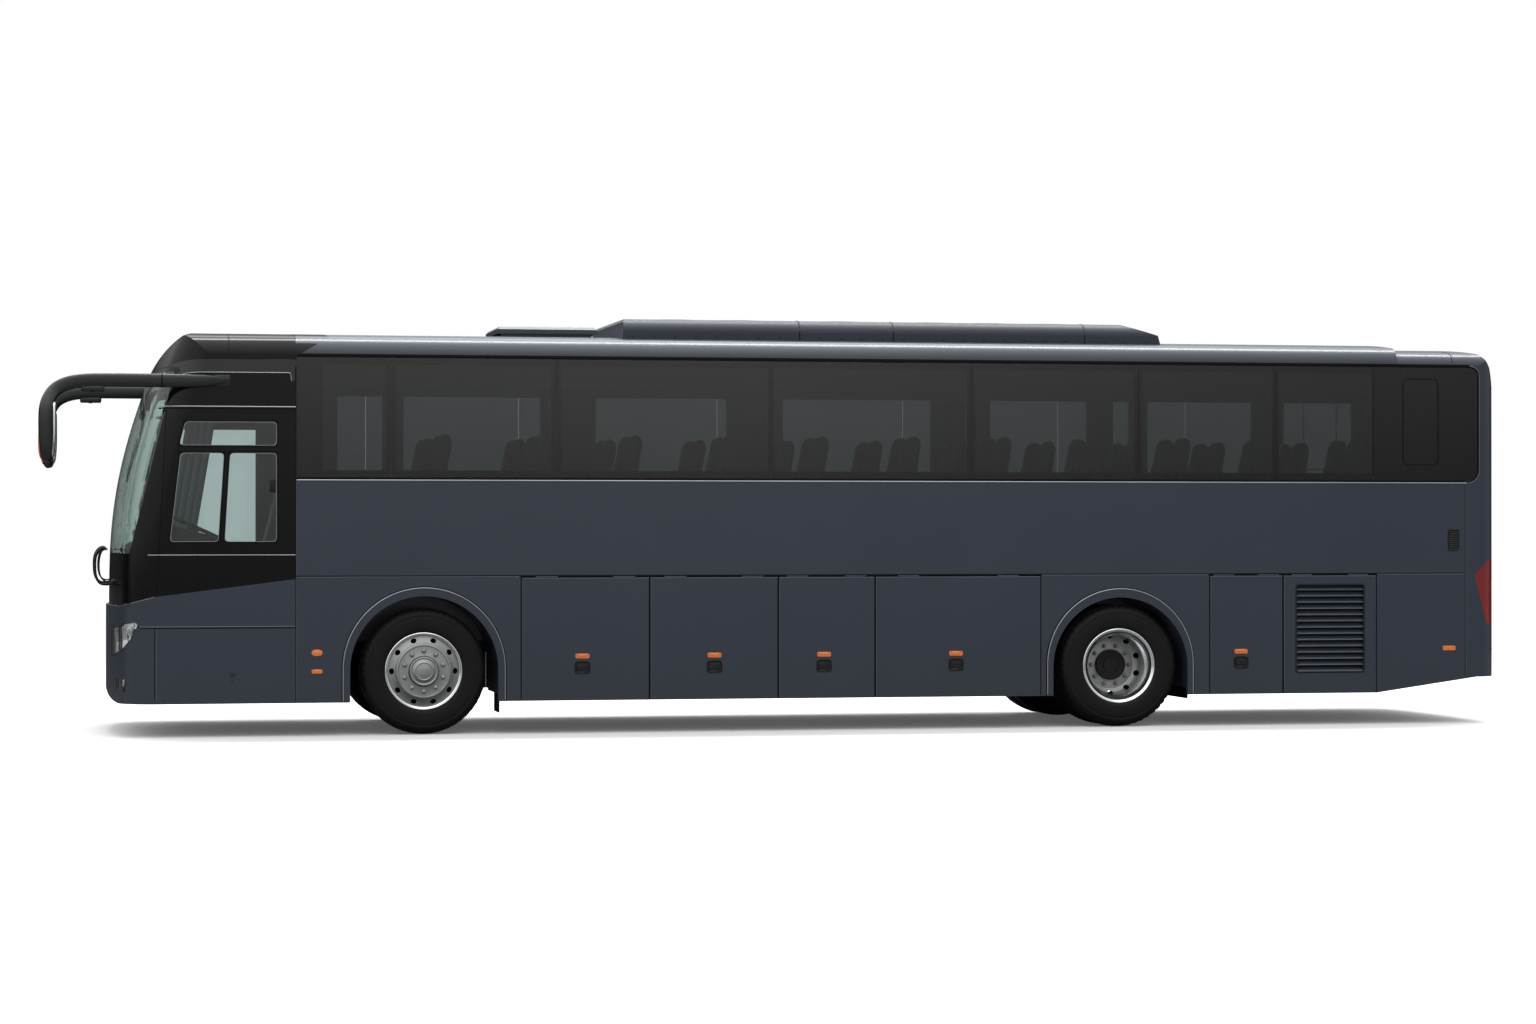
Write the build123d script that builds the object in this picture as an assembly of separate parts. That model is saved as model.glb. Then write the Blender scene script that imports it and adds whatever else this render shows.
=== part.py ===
"""A twelve metre touring coach, built as separate pieces.

Lengths run rearwards from the front axle, the left (driver's) side is -Y and the ground is z = 0.
All pieces are moved together at the end, so that the whole box stands on its bottom centre.
"""
import os
from math import atan2, cos, pi, sin, sqrt

from build123d import *

# ---- overall body, all in millimetres -------------------------------------------------------
half_width = 1250
wall = 60
glass = 9
body_bottom = 272
skirt_top = 1296
belt = 2109
crown = 3335
gutter = crown - 215
rear_crown = crown - 39
roof_edge_half = half_width - 120
roof_edge_drop = 66
wheelbase = 5953
tail = wheelbase + 3477
fairing_end = tail - 970
side_end = tail - 225
deck_top = 1310
deck_thick = 60
cab_floor = 1100
seam_gap = 5

# ---- front end ------------------------------------------------------------------------------
nose = -2560
crest_step = 25
front_bow_radius = 5600
front_corner_radius = 300
front_module_end = -1049
bumper_end = -2179
panel_seam = 897
mask_low_nose = 1062
mask_low_corner = 1143
mask_low_end = 1285
screen_low = 1495
screen_high = gutter - 145
cap_low = gutter - 110
bottom_round = 100
nose_rake = [  # height, set back of the nose from the upper front's foot
    (1062, 0),
    (1508, 8),
    (2088, 73),
    (crown - 725, 205),
    (crown - 286, 362),
    (crown + 85, 520),
]
# arc over the windshield: x, z
brow = [(-2192, gutter - 120), (-1992, gutter + 126), (-1450, crown + 11)]

# ---- rear end -------------------------------------------------------------------------------
rear_bow_radius = 15000
rear_corner_radius = 180
rear_corner_crease = 6
rear_rise_end = tail - 337
rear_bottom = 405

# ---- wheels ---------------------------------------------------------------------------------
tyre_radius = 522
tyre_width = 286
rim_radius = 308
rim_width = 230
front_wheel_y = half_width - 204
rear_outer_y = half_width - 178
rear_inner_y = half_width - 512
king_pin_y = half_width - 370
arch = [  # name, axle x, opening radius, opening centre height, lip radius, lip centre height
    ("front", 0, 609, 532, 669, 543),
    ("rear", wheelbase, 597, 511, 651, 534),
]
lip_proud = 8
liner_thick = 8
liner_inner_y = half_width - 740
liner_notch = 230
skirt_thick = 40

# ---- side openings --------------------------------------------------------------------------
left_windows = [(-833, -317), (-235, 1047), (1138, 2879), (2930, 4599),
                (4676, 6074), (6155, 7315), (7378, 8225)]
right_windows = [(-530, -131), (55, 1286), (1785, 2986), (3505, 4893),
                 (5454, 6383), (6630, 6788), (6963, 7987), (tail - 1137, tail - 455)]
window_low = 2175
window_high = gutter - 80
pane_joints = [-1049, -276, 1092, 2905, 4637, 6114, 7347, 8241, side_end + 12]
band_high = gutter - 14
pane_gap = 6
arch_seam = 797
rear_arch_front = wheelbase - 704
rear_arch_back = wheelbase + 796
service_seam = wheelbase + 1460
engine_seam = wheelbase + 2315
flaps = [  # name, front seam, rear seam
    ("luggage_door_{}_1", arch_seam, 1873),
    ("luggage_door_{}_2", 1873, 2965),
    ("luggage_door_{}_3", 2965, 3799),
    ("luggage_door_{}_4", 3799, rear_arch_front),
    ("service_door_{}", rear_arch_back, service_seam),
    ("engine_door_{}", service_seam, engine_seam),
]
flap_gap = 5
louvre_x = (wheelbase + 1581, wheelbase + 2199)
louvre_top = 1212
louvre_count = 14
louvre_pitch = 54
louvre_depth = 58
louvre_lean = 48
tow_reach = 50
tow_eye_radius = 45
tow_eye_thick = 40
tow_bore = 22
hinge_radius = 5.5
hinge_pin = 2.5
hinge_slack = 0.3
hinge_length = 60
hinge_z = skirt_top
hinge_y = half_width - 2
hinge_clear = 1
seal_slack = 0.3
wall_inner = half_width - wall
wall_low = hinge_z + hinge_radius + hinge_clear
seam_depth = 8
seam_width = 4
beyond = half_width + 250
above = crown + 265


def block(x0, x1, y0, y1, z0, z1):
    """A box between two corners."""
    return Pos((x0 + x1) / 2, (y0 + y1) / 2, (z0 + z1) / 2) * Box(x1 - x0, y1 - y0, z1 - z0)


def side_prism(points, y0, y1):
    """A side outline, given as x and z, carried across from y0 to y1."""
    face = make_face(Polyline(*[(x, y0, z) for x, z in points], close=True))
    return extrude(face, amount=y1 - y0, dir=(0, 1, 0))


def drum(x, y, z, radius, length, axis):
    """A cylinder about a point, with its axis along X, Y or Z."""
    turn = {"x": Rot(0, 90, 0), "y": Rot(90, 0, 0), "z": Rot(0, 0, 0)}[axis]
    return Pos(x, y, z) * turn * Cylinder(radius, length)


def both(solid):
    """A piece and its mirror image on the other side of the bus."""
    return [solid, mirror(solid, about=Plane.XZ)]


# ---- body form ------------------------------------------------------------------------------
def plan_outline(tip, direction, back, bow, corner, inset, height, crease=0):
    """Bowed end with round corners: a line, a corner arc, the bow arc and their mirror.

    A crease moves the corner arc's start along the side, so that it leaves at a small angle.
    """
    half = half_width - inset
    bow_x = tip + direction * bow
    corner_y = half_width - corner
    corner_x = bow_x - direction * sqrt((bow - corner) ** 2 - corner_y ** 2)
    lean = atan2(corner_y, abs(bow_x - corner_x))
    middle = (lean + pi / 2) / 2
    meet = (bow_x - direction * (bow - inset) * cos(lean), (bow - inset) * sin(lean))
    start_x = corner_x - direction * crease
    round_x = corner_x - direction * (corner - inset) * cos(middle)
    round_y = corner_y + (corner - inset) * sin(middle)
    edges = [
        Line((back, -half), (start_x, -half)),
        ThreePointArc((start_x, -half), (round_x, -round_y), (meet[0], -meet[1])),
        ThreePointArc((meet[0], -meet[1]), (tip + direction * inset, 0), meet),
        ThreePointArc(meet, (round_x, round_y), (start_x, half)),
        Line((start_x, half), (back, half)),
        Line((back, half), (back, -half)),
    ]
    return Pos(0, 0, height) * make_face(edges)


def front_form(inset):
    """Lower nose as an upright prism, upper nose as a raked loft of the same plan."""
    low = plan_outline(nose, 1, front_module_end, front_bow_radius, front_corner_radius,
                       inset, body_bottom)
    lower = extrude(low, amount=mask_low_nose - body_bottom)
    sections = [plan_outline(nose + crest_step + back, 1, front_module_end, front_bow_radius,
                             front_corner_radius, inset, z) for z, back in nose_rake]
    return lower, loft(sections)


def roof_section(inset, top, drop):
    """Cross section of the body: upright sides, coved edges and a slightly crowned roof."""
    half = half_width - inset
    edge = roof_edge_half - inset / 2
    low = body_bottom - 200
    right = [(0, half, low), (0, half, gutter)]
    cove = ThreePointArc((0, half, gutter), (0, half - 28, gutter + 0.6 * (top - drop - gutter)),
                         (0, edge, top - drop - inset))
    roof = ThreePointArc((0, edge, top - drop - inset), (0, 0, top - inset),
                         (0, -edge, top - drop - inset))
    cove2 = ThreePointArc((0, -edge, top - drop - inset),
                          (0, -half + 28, gutter + 0.6 * (top - drop - gutter)), (0, -half, gutter))
    sides = [Line(*right), Line((0, -half, gutter), (0, -half, low)),
             Line((0, -half, low), (0, half, low))]
    return make_face([sides[0], cove, roof, cove2, sides[1], sides[2]])


def side_outline(inset):
    """Side outline that rounds the brow at the front and the roof's rear edge."""
    top = crown + 40 - inset
    edge = tail - 280 - inset / 2
    wall_top = tail + 5 - inset
    front = [(x + 0.75 * inset, z - 0.75 * inset) for x, z in brow]
    arc = ThreePointArc(*[(x, 0, z) for x, z in front])
    curl = ThreePointArc((edge, 0, crown - 45 - inset),
                         (tail - 168 - 0.6 * inset, 0, crown - 145 - 0.6 * inset),
                         (tail - 100 - inset, 0, crown - 235))
    lean = ThreePointArc((tail - 100 - inset, 0, crown - 235),
                         (tail - 30 - inset, 0, crown - 545), (wall_top, 0, 2263))
    low = -200
    lines = [
        Line((nose - 60, 0, low), (nose - 60, 0, front[0][1])),
        Line((nose - 60, 0, front[0][1]), (front[0][0], 0, front[0][1])),
        arc,
        Line((front[2][0], 0, front[2][1]), (front[2][0] + 60, 0, top)),
        Line((front[2][0] + 60, 0, top), (edge, 0, top)),
        Line((edge, 0, top), (edge, 0, crown - 45 - inset)),
        curl,
        lean,
        Line((wall_top, 0, 2263), (wall_top, 0, low)),
        Line((wall_top, 0, low), (nose - 60, 0, low)),
    ]
    face = make_face(lines)
    return Pos(0, -beyond, 0) * extrude(face, amount=2 * beyond, dir=(0, 1, 0))


def body_form(inset):
    """The closed body, or the room inside it when inset by the wall."""
    lower, upper = front_form(inset)
    rear = plan_outline(tail, -1, front_module_end, rear_bow_radius, rear_corner_radius,
                        inset, body_bottom, rear_corner_crease)
    plan = lower + upper + extrude(rear, amount=crown + 85 - body_bottom)
    tall = Pos(nose - 100, 0, 0) * extrude(roof_section(inset, crown, roof_edge_drop),
                                           amount=fairing_end - nose + 100, dir=(1, 0, 0))
    short = Pos(fairing_end, 0, 0) * extrude(roof_section(inset, rear_crown, roof_edge_drop),
                                             amount=1200, dir=(1, 0, 0))
    return plan & (tall + short) & side_outline(inset)


nodes = {}
outer = body_form(0)
room = body_form(wall)
shell = outer - room
glass_skin = outer - body_form(glass)
seam_skin = outer - body_form(seam_depth)


def slab(x0, x1, z0, z1):
    """A cutter that spans the whole width of the bus."""
    return block(x0, x1, -beyond, beyond, z0, z1)


# ---- front module ---------------------------------------------------------------------------
ahead = nose - 200
module = slab(ahead, front_module_end, 0, above)
screen_outline = [(ahead, screen_low), (-2383, screen_low), (-2026, screen_high),
                  (ahead, screen_high)]
mask_foot = [(ahead, mask_low_nose), (nose + 60, mask_low_nose), (bumper_end, mask_low_corner),
             (front_module_end, mask_low_end)]
mask_outline = mask_foot + [(front_module_end, cap_low), (ahead, cap_low)]
door_x = (-2085, -1125)
door_z = (330, cap_low - 320)
door_inner = half_width - 350
door_hole = block(door_x[0], door_x[1], door_inner, beyond, door_z[0], door_z[1])
driver_panes = [
    [(-1990, 2374), (-1206, 2374), (-1206, 2566), (-1942, 2566)],
    [(-2064, 1590), (-1676, 1590), (-1630, 2312), (-1980, 2312)],
    [(-1626, 1590), (-1206, 1590), (-1206, 2312), (-1582, 2312)],
]
lamp_outline = [(ahead, 655), (-2505, 650), (-2440, 700), (-2370, 800), (-2312, 942),
                (-2440, 915), (-2530, 868), (ahead, 840)]
fog_outline = [(ahead, 372), (-2420, 372), (-2408, 470), (ahead, 476)]


def both_sides(points, y0, y1):
    """A side outline cut through both sides of the bus, from y0 outwards to y1."""
    return side_prism(points, -y1, -y0) + side_prism(points, y0, y1)


pane_reach = (half_width - 100, half_width + 150)
driver_holes = side_prism(driver_panes[0], -pane_reach[1], -pane_reach[0])
for pane in driver_panes[1:]:
    driver_holes += side_prism(pane, -pane_reach[1], -pane_reach[0])

seams = slab(front_module_end - seam_width, front_module_end, 0, above)
seams += slab(ahead, front_module_end, cap_low, cap_low + seam_width)
seams += slab(ahead, front_module_end, panel_seam, panel_seam + seam_width)
seams += slab(bumper_end, bumper_end + seam_width, 0, panel_seam)
front_shell = (shell & module) - (seam_skin & seams)
mask_zone = side_prism(mask_outline, -beyond, beyond)
screen_zone = side_prism(screen_outline, -beyond, beyond)
screen_glass = front_form(0)[1] - front_form(glass)[1]
nodes["windshield"] = screen_glass & screen_zone
nodes["front_mask"] = (front_shell & mask_zone) - screen_zone - driver_holes - door_hole
nodes["front_cap"] = front_shell & slab(ahead, 0, cap_low, above)
lamp_holes = both_sides(lamp_outline, half_width - 610, beyond)
fog_holes = both_sides(fog_outline, half_width - 370, half_width - 120)
grey_zone = front_shell - side_prism(mask_foot + [(front_module_end, above), (ahead, above)],
                                     -beyond, beyond)
bumper_zone = slab(ahead, bumper_end, 0, panel_seam)
nodes["front_panel"] = grey_zone - bumper_zone - door_hole - lamp_holes
nodes["bumper_front"] = (grey_zone & bumper_zone) - lamp_holes - fog_holes
nose_round = Pos(nose + bottom_round, 0, body_bottom + bottom_round) * Rot(90, 0, 0)
foot_cut = (block(ahead, nose + bottom_round, -beyond, beyond, 0, body_bottom + bottom_round)
            - nose_round * Cylinder(bottom_round, 2 * beyond))
nodes["bumper_front"] -= foot_cut
lamp_skin = outer - body_form(25)
nodes["front_lamps"] = [s for s in ((lamp_skin & (lamp_holes + fog_holes)) - foot_cut).solids()]
nodes["entrance_door"] = shell & block(door_x[0] + seam_gap, door_x[1] - seam_gap, door_inner,
                                       beyond, door_z[0] + seam_gap, door_z[1] - seam_gap)
door_seal = shell & block(door_x[0] + seal_slack, door_x[1] - seal_slack, door_inner,
                          wall_inner + 12, door_z[0] + seal_slack, door_z[1] - seal_slack)
nodes["entrance_door"] += door_seal
door_pane = side_prism([(door_x[0] + 110, 700), (door_x[1] - 110, 700),
                        (door_x[1] - 110, door_z[1] - 110), (door_x[0] + 150, door_z[1] - 110)],
                       *pane_reach)
nodes["entrance_door"] -= door_pane
door_glass = (glass_skin & door_pane).solids()

# ---- sides ----------------------------------------------------------------------------------
tail_outline = [(tail - 258, 1291), (tail - 126, 1421), (tail + 170, 1421), (tail + 170, 862),
                (tail - 140, 862)]
tail_cut = both_sides(tail_outline, half_width - 265, beyond)


def side_wall(windows):
    """Left wall plate with its windows cut and a rebate for the bonded glass."""
    plate = block(front_module_end, side_end, -half_width, -wall_inner, wall_low, gutter)
    plate -= tail_cut
    plate -= block(pane_joints[0] - 1, side_end + 1, -half_width - 1, -half_width + glass,
                   belt + 3, band_high + 3)
    for x0, x1 in windows:
        plate -= block(x0, x1, -half_width - 1, -wall_inner + 1, window_low, window_high)
    for _, x0, x1 in flaps:
        for place in (0.2, 0.8):
            x = x0 + place * (x1 - x0)
            for step in (-1, 1):
                at = x + step * (hinge_length + 2)
                knuckle = drum(at, -hinge_y, hinge_z, hinge_radius, hinge_length, "x")
                leaf = block(at - hinge_length / 2, at + hinge_length / 2, -hinge_y - 1.5,
                             -hinge_y + 4, hinge_z, wall_low)
                plate += knuckle + leaf
            plate += drum(x, -hinge_y, hinge_z, hinge_pin, 3 * hinge_length, "x")
    return plate


nodes["side_wall_left"] = side_wall(left_windows)
nodes["side_wall_right"] = mirror(side_wall(right_windows), about=Plane.XZ)

panes = []
for x0, x1 in zip(pane_joints[:-1], pane_joints[1:]):
    end = min(x1, side_end)
    pane = block(x0 + pane_gap / 2, end - pane_gap / 2, -half_width, -half_width + glass,
                 belt + 6, band_high)
    panes += both(pane)
cab_glass = glass_skin & driver_holes
panes += cab_glass.solids() + door_glass
nodes["body_glass"] = panes


def flap(x0, x1, louvres):
    """Top hinged side flap: a flanged skin with two hinge knuckles along its upper edge."""
    low = body_bottom
    top = hinge_z - hinge_radius - 1
    x0 += flap_gap / 2
    x1 -= flap_gap / 2
    skin = block(x0, x1, -half_width, -half_width + skirt_thick, low, top)
    skin -= block(x0 + 45, x1 - 45, -half_width + 6, -half_width + skirt_thick + 1,
                  low + 45, top - 60)
    if louvres:
        middle = (louvre_x[0] + louvre_x[1]) / 2
        length = louvre_x[1] - louvre_x[0]
        skin -= block(louvre_x[0], louvre_x[1], -half_width - 1, -half_width + 7,
                      louvre_top - louvre_count * louvre_pitch, louvre_top)
        for row in range(louvre_count):
            z = louvre_top - (row + 0.5) * louvre_pitch
            slat = Pos(middle, -half_width + 17, z) * Rot(louvre_lean, 0, 0)
            skin += slat * Box(length + 4, louvre_depth, 4)
    for place in (0.2, 0.8):
        x = x0 - flap_gap / 2 + place * (x1 - x0 + flap_gap)
        knuckle = drum(x, -hinge_y, hinge_z, hinge_radius, hinge_length, "x")
        leaf = block(x - hinge_length / 2, x + hinge_length / 2, -hinge_y - 1.5, -hinge_y + 4,
                     top, hinge_z)
        skin += (knuckle + leaf) - drum(x, -hinge_y, hinge_z, hinge_pin + hinge_slack,
                                        hinge_length + 2, "x")
    return skin


for name, x0, x1 in flaps:
    left, right = both(flap(x0, x1, "engine" in name))
    nodes[name.format("left")] = left
    nodes[name.format("right")] = right


def arch_prism(axle, radius, height, y0, y1, low=0):
    """The room under a wheel arch between two side planes."""
    flat = block(axle - radius, axle + radius, y0, y1, low, height)
    round_top = drum(axle, (y0 + y1) / 2, height, radius, y1 - y0, "y")
    return flat + (round_top - block(axle - 2 * radius, axle + 2 * radius, y0 - 1, y1 + 1,
                                     height - 2 * radius, height))


def skirt(x0, x1, tail_rise):
    """A fixed lower side panel."""
    if tail_rise:
        points = [(x0, body_bottom), (x0, wall_low), (x1, wall_low), (x1, rear_bottom)]
        return side_prism(points, -half_width, -half_width + skirt_thick) - tail_cut
    return block(x0, x1, -half_width, -half_width + skirt_thick, body_bottom, wall_low)


skirts = []
spans = {"front": (front_module_end, arch_seam), "rear": (rear_arch_front, rear_arch_back)}
for name, axle, radius, height, lip_radius, lip_height in arch:
    x0, x1 = spans[name]
    panel = skirt(x0 + (flap_gap / 2 if name == "rear" else 0), x1 - flap_gap / 2, False)
    lip = arch_prism(axle, lip_radius, lip_height, -half_width - lip_proud, -half_width + 20,
                     body_bottom)
    panel += lip
    house = arch_prism(axle, radius + liner_thick, height, -half_width + 20, -liner_inner_y,
                       body_bottom + 60)
    panel += house
    panel -= arch_prism(axle, radius, height, -half_width - 50, -liner_inner_y - liner_thick,
                        0)
    panel -= block(axle - radius, axle + radius, -beyond, -liner_inner_y - liner_thick,
                   0, height)
    panel -= block(axle - radius, axle + radius, -liner_inner_y - 2 * liner_thick,
                   -liner_inner_y + 1, 0, tyre_radius + liner_notch)
    skirts += both(panel)
skirts += both(skirt(engine_seam + flap_gap / 2, side_end, True))
nodes["skirts"] = skirts

# ---- roof and rear --------------------------------------------------------------------------
hatch_x = (741, 1516)
hatch_half = 380
hatch_curb = 40
hatch_room = block(hatch_x[0] + hatch_curb, hatch_x[1] - hatch_curb, -hatch_half + hatch_curb,
                   hatch_half - hatch_curb, gutter, above)
roof = (shell & slab(front_module_end, side_end, gutter, above)) - hatch_room
curb = block(hatch_x[0], hatch_x[1], -hatch_half, hatch_half, crown - 30, crown + 40) - hatch_room
hatch_hinge = (hatch_x[1] + 13, crown + 27)
for y in (-200, 200):
    for step in (-1, 1):
        at = y + step * (hinge_length + 2)
        curb += drum(hatch_hinge[0], at, hatch_hinge[1], hinge_radius, hinge_length, "y")
        curb += block(hatch_x[1] - 2, hatch_hinge[0], at - hinge_length / 2,
                      at + hinge_length / 2, hatch_hinge[1] - 3, hatch_hinge[1] + 3)
    curb += drum(hatch_hinge[0], y, hatch_hinge[1], hinge_pin, 3 * hinge_length, "y")
roof += curb
nodes["roof_shell"] = roof

lid_y = 860
lid_z = (870, 1960)
lid_hinge_x = tail - 14
lid_hinge_z = lid_z[1] - hinge_radius - hinge_clear
lid_cove = 21
behind = tail + 170
rear_shell = shell & slab(side_end, behind, 0, above)
rear_shell -= side_prism([(rear_rise_end, 0), (behind, 0), (behind, rear_bottom + 60),
                          (tail - 50, rear_bottom), (tail - 430, rear_bottom - 5)],
                         -beyond, beyond)
lid_room = block(tail - 130, behind, -lid_y, lid_y, lid_z[0], lid_z[1])
rear_pane_room = block(side_end - 5, behind, -980, 980, 2240, gutter - 160)
nodes["rear_panel"] = rear_shell - lid_room - rear_pane_room - tail_cut
nodes["rear_panel"] -= drum(lid_hinge_x, 0, lid_hinge_z, lid_cove, 2 * lid_y, "y")
nodes["tail_lamps"] = ((outer - body_form(30)) & tail_cut).solids()
rear_glass = glass_skin & rear_pane_room & slab(side_end, behind, 0, above)
nodes["body_glass"] = nodes["body_glass"] + rear_glass.solids()
lid = shell & block(tail - 130, behind, -lid_y + flap_gap, lid_y - flap_gap, lid_z[0] + flap_gap,
                    lid_hinge_z - hinge_radius - hinge_clear)
for y in (-520, 520):
    moving = drum(lid_hinge_x, y, lid_hinge_z, hinge_radius, hinge_length, "y")
    moving += block(lid_hinge_x - 14, lid_hinge_x - 3, y - hinge_length / 2, y + hinge_length / 2,
                    lid_hinge_z - hinge_radius - 4, lid_hinge_z)
    lid += moving - drum(lid_hinge_x, y, lid_hinge_z, hinge_pin + hinge_slack,
                         hinge_length + 2, "y")
    for step in (-1, 1):
        at = y + step * (hinge_length + 2)
        fixed = drum(lid_hinge_x, at, lid_hinge_z, hinge_radius, hinge_length, "y")
        fixed += block(lid_hinge_x - 14, lid_hinge_x - 3, at - hinge_length / 2,
                       at + hinge_length / 2, lid_hinge_z, lid_hinge_z + lid_cove + 3)
        nodes["rear_panel"] += fixed
    nodes["rear_panel"] += drum(lid_hinge_x, y, lid_hinge_z, hinge_pin, 3 * hinge_length, "y")
nodes["engine_lid"] = lid

# ---- roof equipment -------------------------------------------------------------------------
unit_front = 1694
unit_rear = 6453
unit_half = 900
unit_top = crown + 145
unit_edge = 110
unit_crown = 14
unit_wall = 5


def unit_form(inset):
    """Roof air conditioner: a crowned section with round edges under a sloped front and tail."""
    half = unit_half - inset
    low = gutter + 60
    top = unit_top - unit_crown - inset
    bend = unit_edge * (1 - sqrt(0.5))
    left = [(0, -half, low), (0, -half, top - unit_edge), (0, -half + bend, top - bend),
            (0, -half + unit_edge, top)]
    right = [(x, -y, z) for x, y, z in left]
    section = make_face([
        Line(left[0], left[1]), ThreePointArc(*left[1:]),
        ThreePointArc(left[3], (0, 0, top + unit_crown), right[3]),
        ThreePointArc(*right[:0:-1]), Line(right[1], right[0]), Line(right[0], left[0])])
    body = Pos(unit_front, 0, 0) * extrude(section, amount=unit_rear - unit_front, dir=(1, 0, 0))
    peak = unit_top + 20
    front = [(unit_front + inset, low), (unit_front + 18 + inset, unit_top - 40 - inset),
             (unit_front + 40 + inset, unit_top - 12 - inset),
             (unit_front + 106 + inset, unit_top + 2 - inset)]
    rear = [(unit_rear - 480 - inset, unit_top + 2 - inset),
            (unit_rear - 363 - inset, unit_top - 18 - inset),
            (unit_rear - 53 - inset, unit_top - 110 - inset), (unit_rear - inset, low)]
    outline = [front[0], front[1], front[2], front[3], (front[3][0], peak), (rear[0][0], peak)]
    return body & side_prism(outline + rear, -unit_half, unit_half)


nodes["ac_unit"] = unit_form(0) - unit_form(unit_wall) - outer
hatch_lid = block(701, 1556, -430, 430, crown + 18, crown + 78)
hatch_lid = chamfer(hatch_lid.edges().group_by(Axis.Z)[-1], 22)
hatch_lid -= block(701 + 15, 1556 - 15, -415, 415, crown, crown + 50)
for y in (-200, 200):
    moving = drum(hatch_hinge[0], y, hatch_hinge[1], hinge_radius, hinge_length, "y")
    moving += block(hatch_hinge[0], 1550, y - hinge_length / 2, y + hinge_length / 2,
                    hatch_hinge[1] - 3, hatch_hinge[1] + 3)
    hatch_lid += moving - drum(hatch_hinge[0], y, hatch_hinge[1], hinge_pin + hinge_slack,
                               hinge_length + 2, "y")
nodes["roof_hatch"] = hatch_lid

# ---- structure under the floor --------------------------------------------------------------
def rails(x0, x1, z0, z1):
    """A pair of frame rails between two stations."""
    return block(x0, x1, -470, -390, z0, z1) + block(x0, x1, 390, 470, z0, z1)


def cross_members(stations, half, z0, z1):
    """Square tubes across the frame at each station."""
    bars = [block(x, x + tube, -half, half, z0, z1) for x in stations]
    return bars[0].fuse(*bars[1:])


def tow_eye(x, y, z, way):
    """A towing eye at a rail's end, for a pin that comes up from below."""
    tip = x + way * tow_reach
    eye = drum(tip, y, z, tow_eye_radius, tow_eye_thick, "z")
    eye += block(min(x, tip), max(x, tip), y - 40, y + 40, z - tow_eye_thick / 2,
                 z + tow_eye_thick / 2)
    return eye - drum(tip, y, z, tow_bore, 2 * tow_eye_thick, "z")


rail_front = -2250
rail_rear = tail - 480
tube = 60
bay_x = (arch_seam, rear_arch_front + tube)
bay_posts = (1843, 2935, 3769)
front_rails = rails(rail_front, arch_seam + tube, 650, 800)
front_rails += rails(arch_seam, arch_seam + tube, 335, 650)
front_rails += cross_members((rail_front, -1300, arch_seam - tube), 395, 660, 790)
rear_rails = rails(rear_arch_front, rail_rear, 700, 850)
rear_rails += rails(rear_arch_front, rear_arch_front + tube, 335, 700)
rear_rails += cross_members((rear_arch_front + tube, wheelbase + 1347, rail_rear - tube), 395,
                            710, 840)
for y in (-430, 430):
    front_rails += tow_eye(rail_front, y, 725, -1)
    rear_rails += tow_eye(rail_rear, y, 775, 1)
bay_frame = rails(*bay_x, 275, 335)
bay_frame += cross_members((arch_seam, *bay_posts, rear_arch_front), wall_inner, 275, 335)
frame = front_rails + rear_rails + bay_frame
nodes["chassis_front"] = front_rails
nodes["chassis_rear"] = rear_rails
nodes["bay_frame"] = bay_frame

deck = block(front_module_end, side_end, -wall_inner, wall_inner, deck_top - deck_thick, deck_top)
stair_top = 540
treads = [(340, 900, 1150), (595, 720, 900), (850, stair_top, 720)]  # height, from y, to y
cab = block(-2400, front_module_end + 40, -wall_inner, stair_top, cab_floor - 60, cab_floor)
cab += block(front_module_end, front_module_end + 40, -wall_inner, wall_inner, cab_floor - 60,
             deck_top - deck_thick)
risers = treads + [(cab_floor - 60, 0, 0)]
for (z, y0, y1), (above, _, _) in zip(treads, risers[1:]):
    cab += block(-2080, front_module_end + 40, y0 - 20, y1, z, z + 60)
    cab += block(-2080, front_module_end + 40, y0 - 20, y0, z, above + 60)
cab += block(front_module_end, front_module_end + 40, stair_top, wall_inner, 340,
             deck_top - deck_thick)
cab &= room
nodes["floor_deck"] = deck + cab

bay_floor = block(*bay_x, -wall_inner, wall_inner, 335, 360)
for x in (arch_seam, rear_arch_front):
    bulkhead = block(x, x + tube, -wall_inner, wall_inner, 335, deck_top - deck_thick)
    for y in (-430, 430):
        bulkhead -= block(x - 1, x + tube + 1, y - 45, y + 45, 335, 860)
    bay_floor += bulkhead
for x in bay_posts:
    for y in (-wall_inner, wall_inner - tube):
        bay_floor += block(x, x + tube, y, y + tube, 335, deck_top - deck_thick)
bay_floor -= frame
nodes["luggage_floor"] = bay_floor

engine_x = (tail - 1880, tail - 530)
engine = block(*engine_x, -420, 420, 480, 700)
engine += block(engine_x[0] + 50, engine_x[1] - 50, -380, 380, 480, 1240)
nodes["engine_block"] = engine

# ---- axles, knuckles and wheels -------------------------------------------------------------
axle_z = tyre_radius
boss_radius = 35
beam_end = king_pin_y - 120
beam = block(-60, 60, -beam_end, beam_end, axle_z - 150, axle_z - 40)
for side in (-1, 1):
    beam += block(-boss_radius, boss_radius, *sorted((side * (beam_end - tube),
                                                      side * king_pin_y)),
                  axle_z - 60, axle_z + 60)
    beam += drum(0, side * king_pin_y, axle_z, boss_radius, 120, "z")
    beam += block(-55, 55, *sorted((side * (beam_end - tube), side * beam_end)),
                  axle_z - 150, axle_z + 60)
for y in (-430, 430):
    beam += block(-60, 60, y - 45, y + 45, axle_z - 60, 650)
for y in (-king_pin_y, king_pin_y):
    beam += drum(0, y, axle_z, 22, 240, "z")
nodes["front_axle"] = beam

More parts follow.
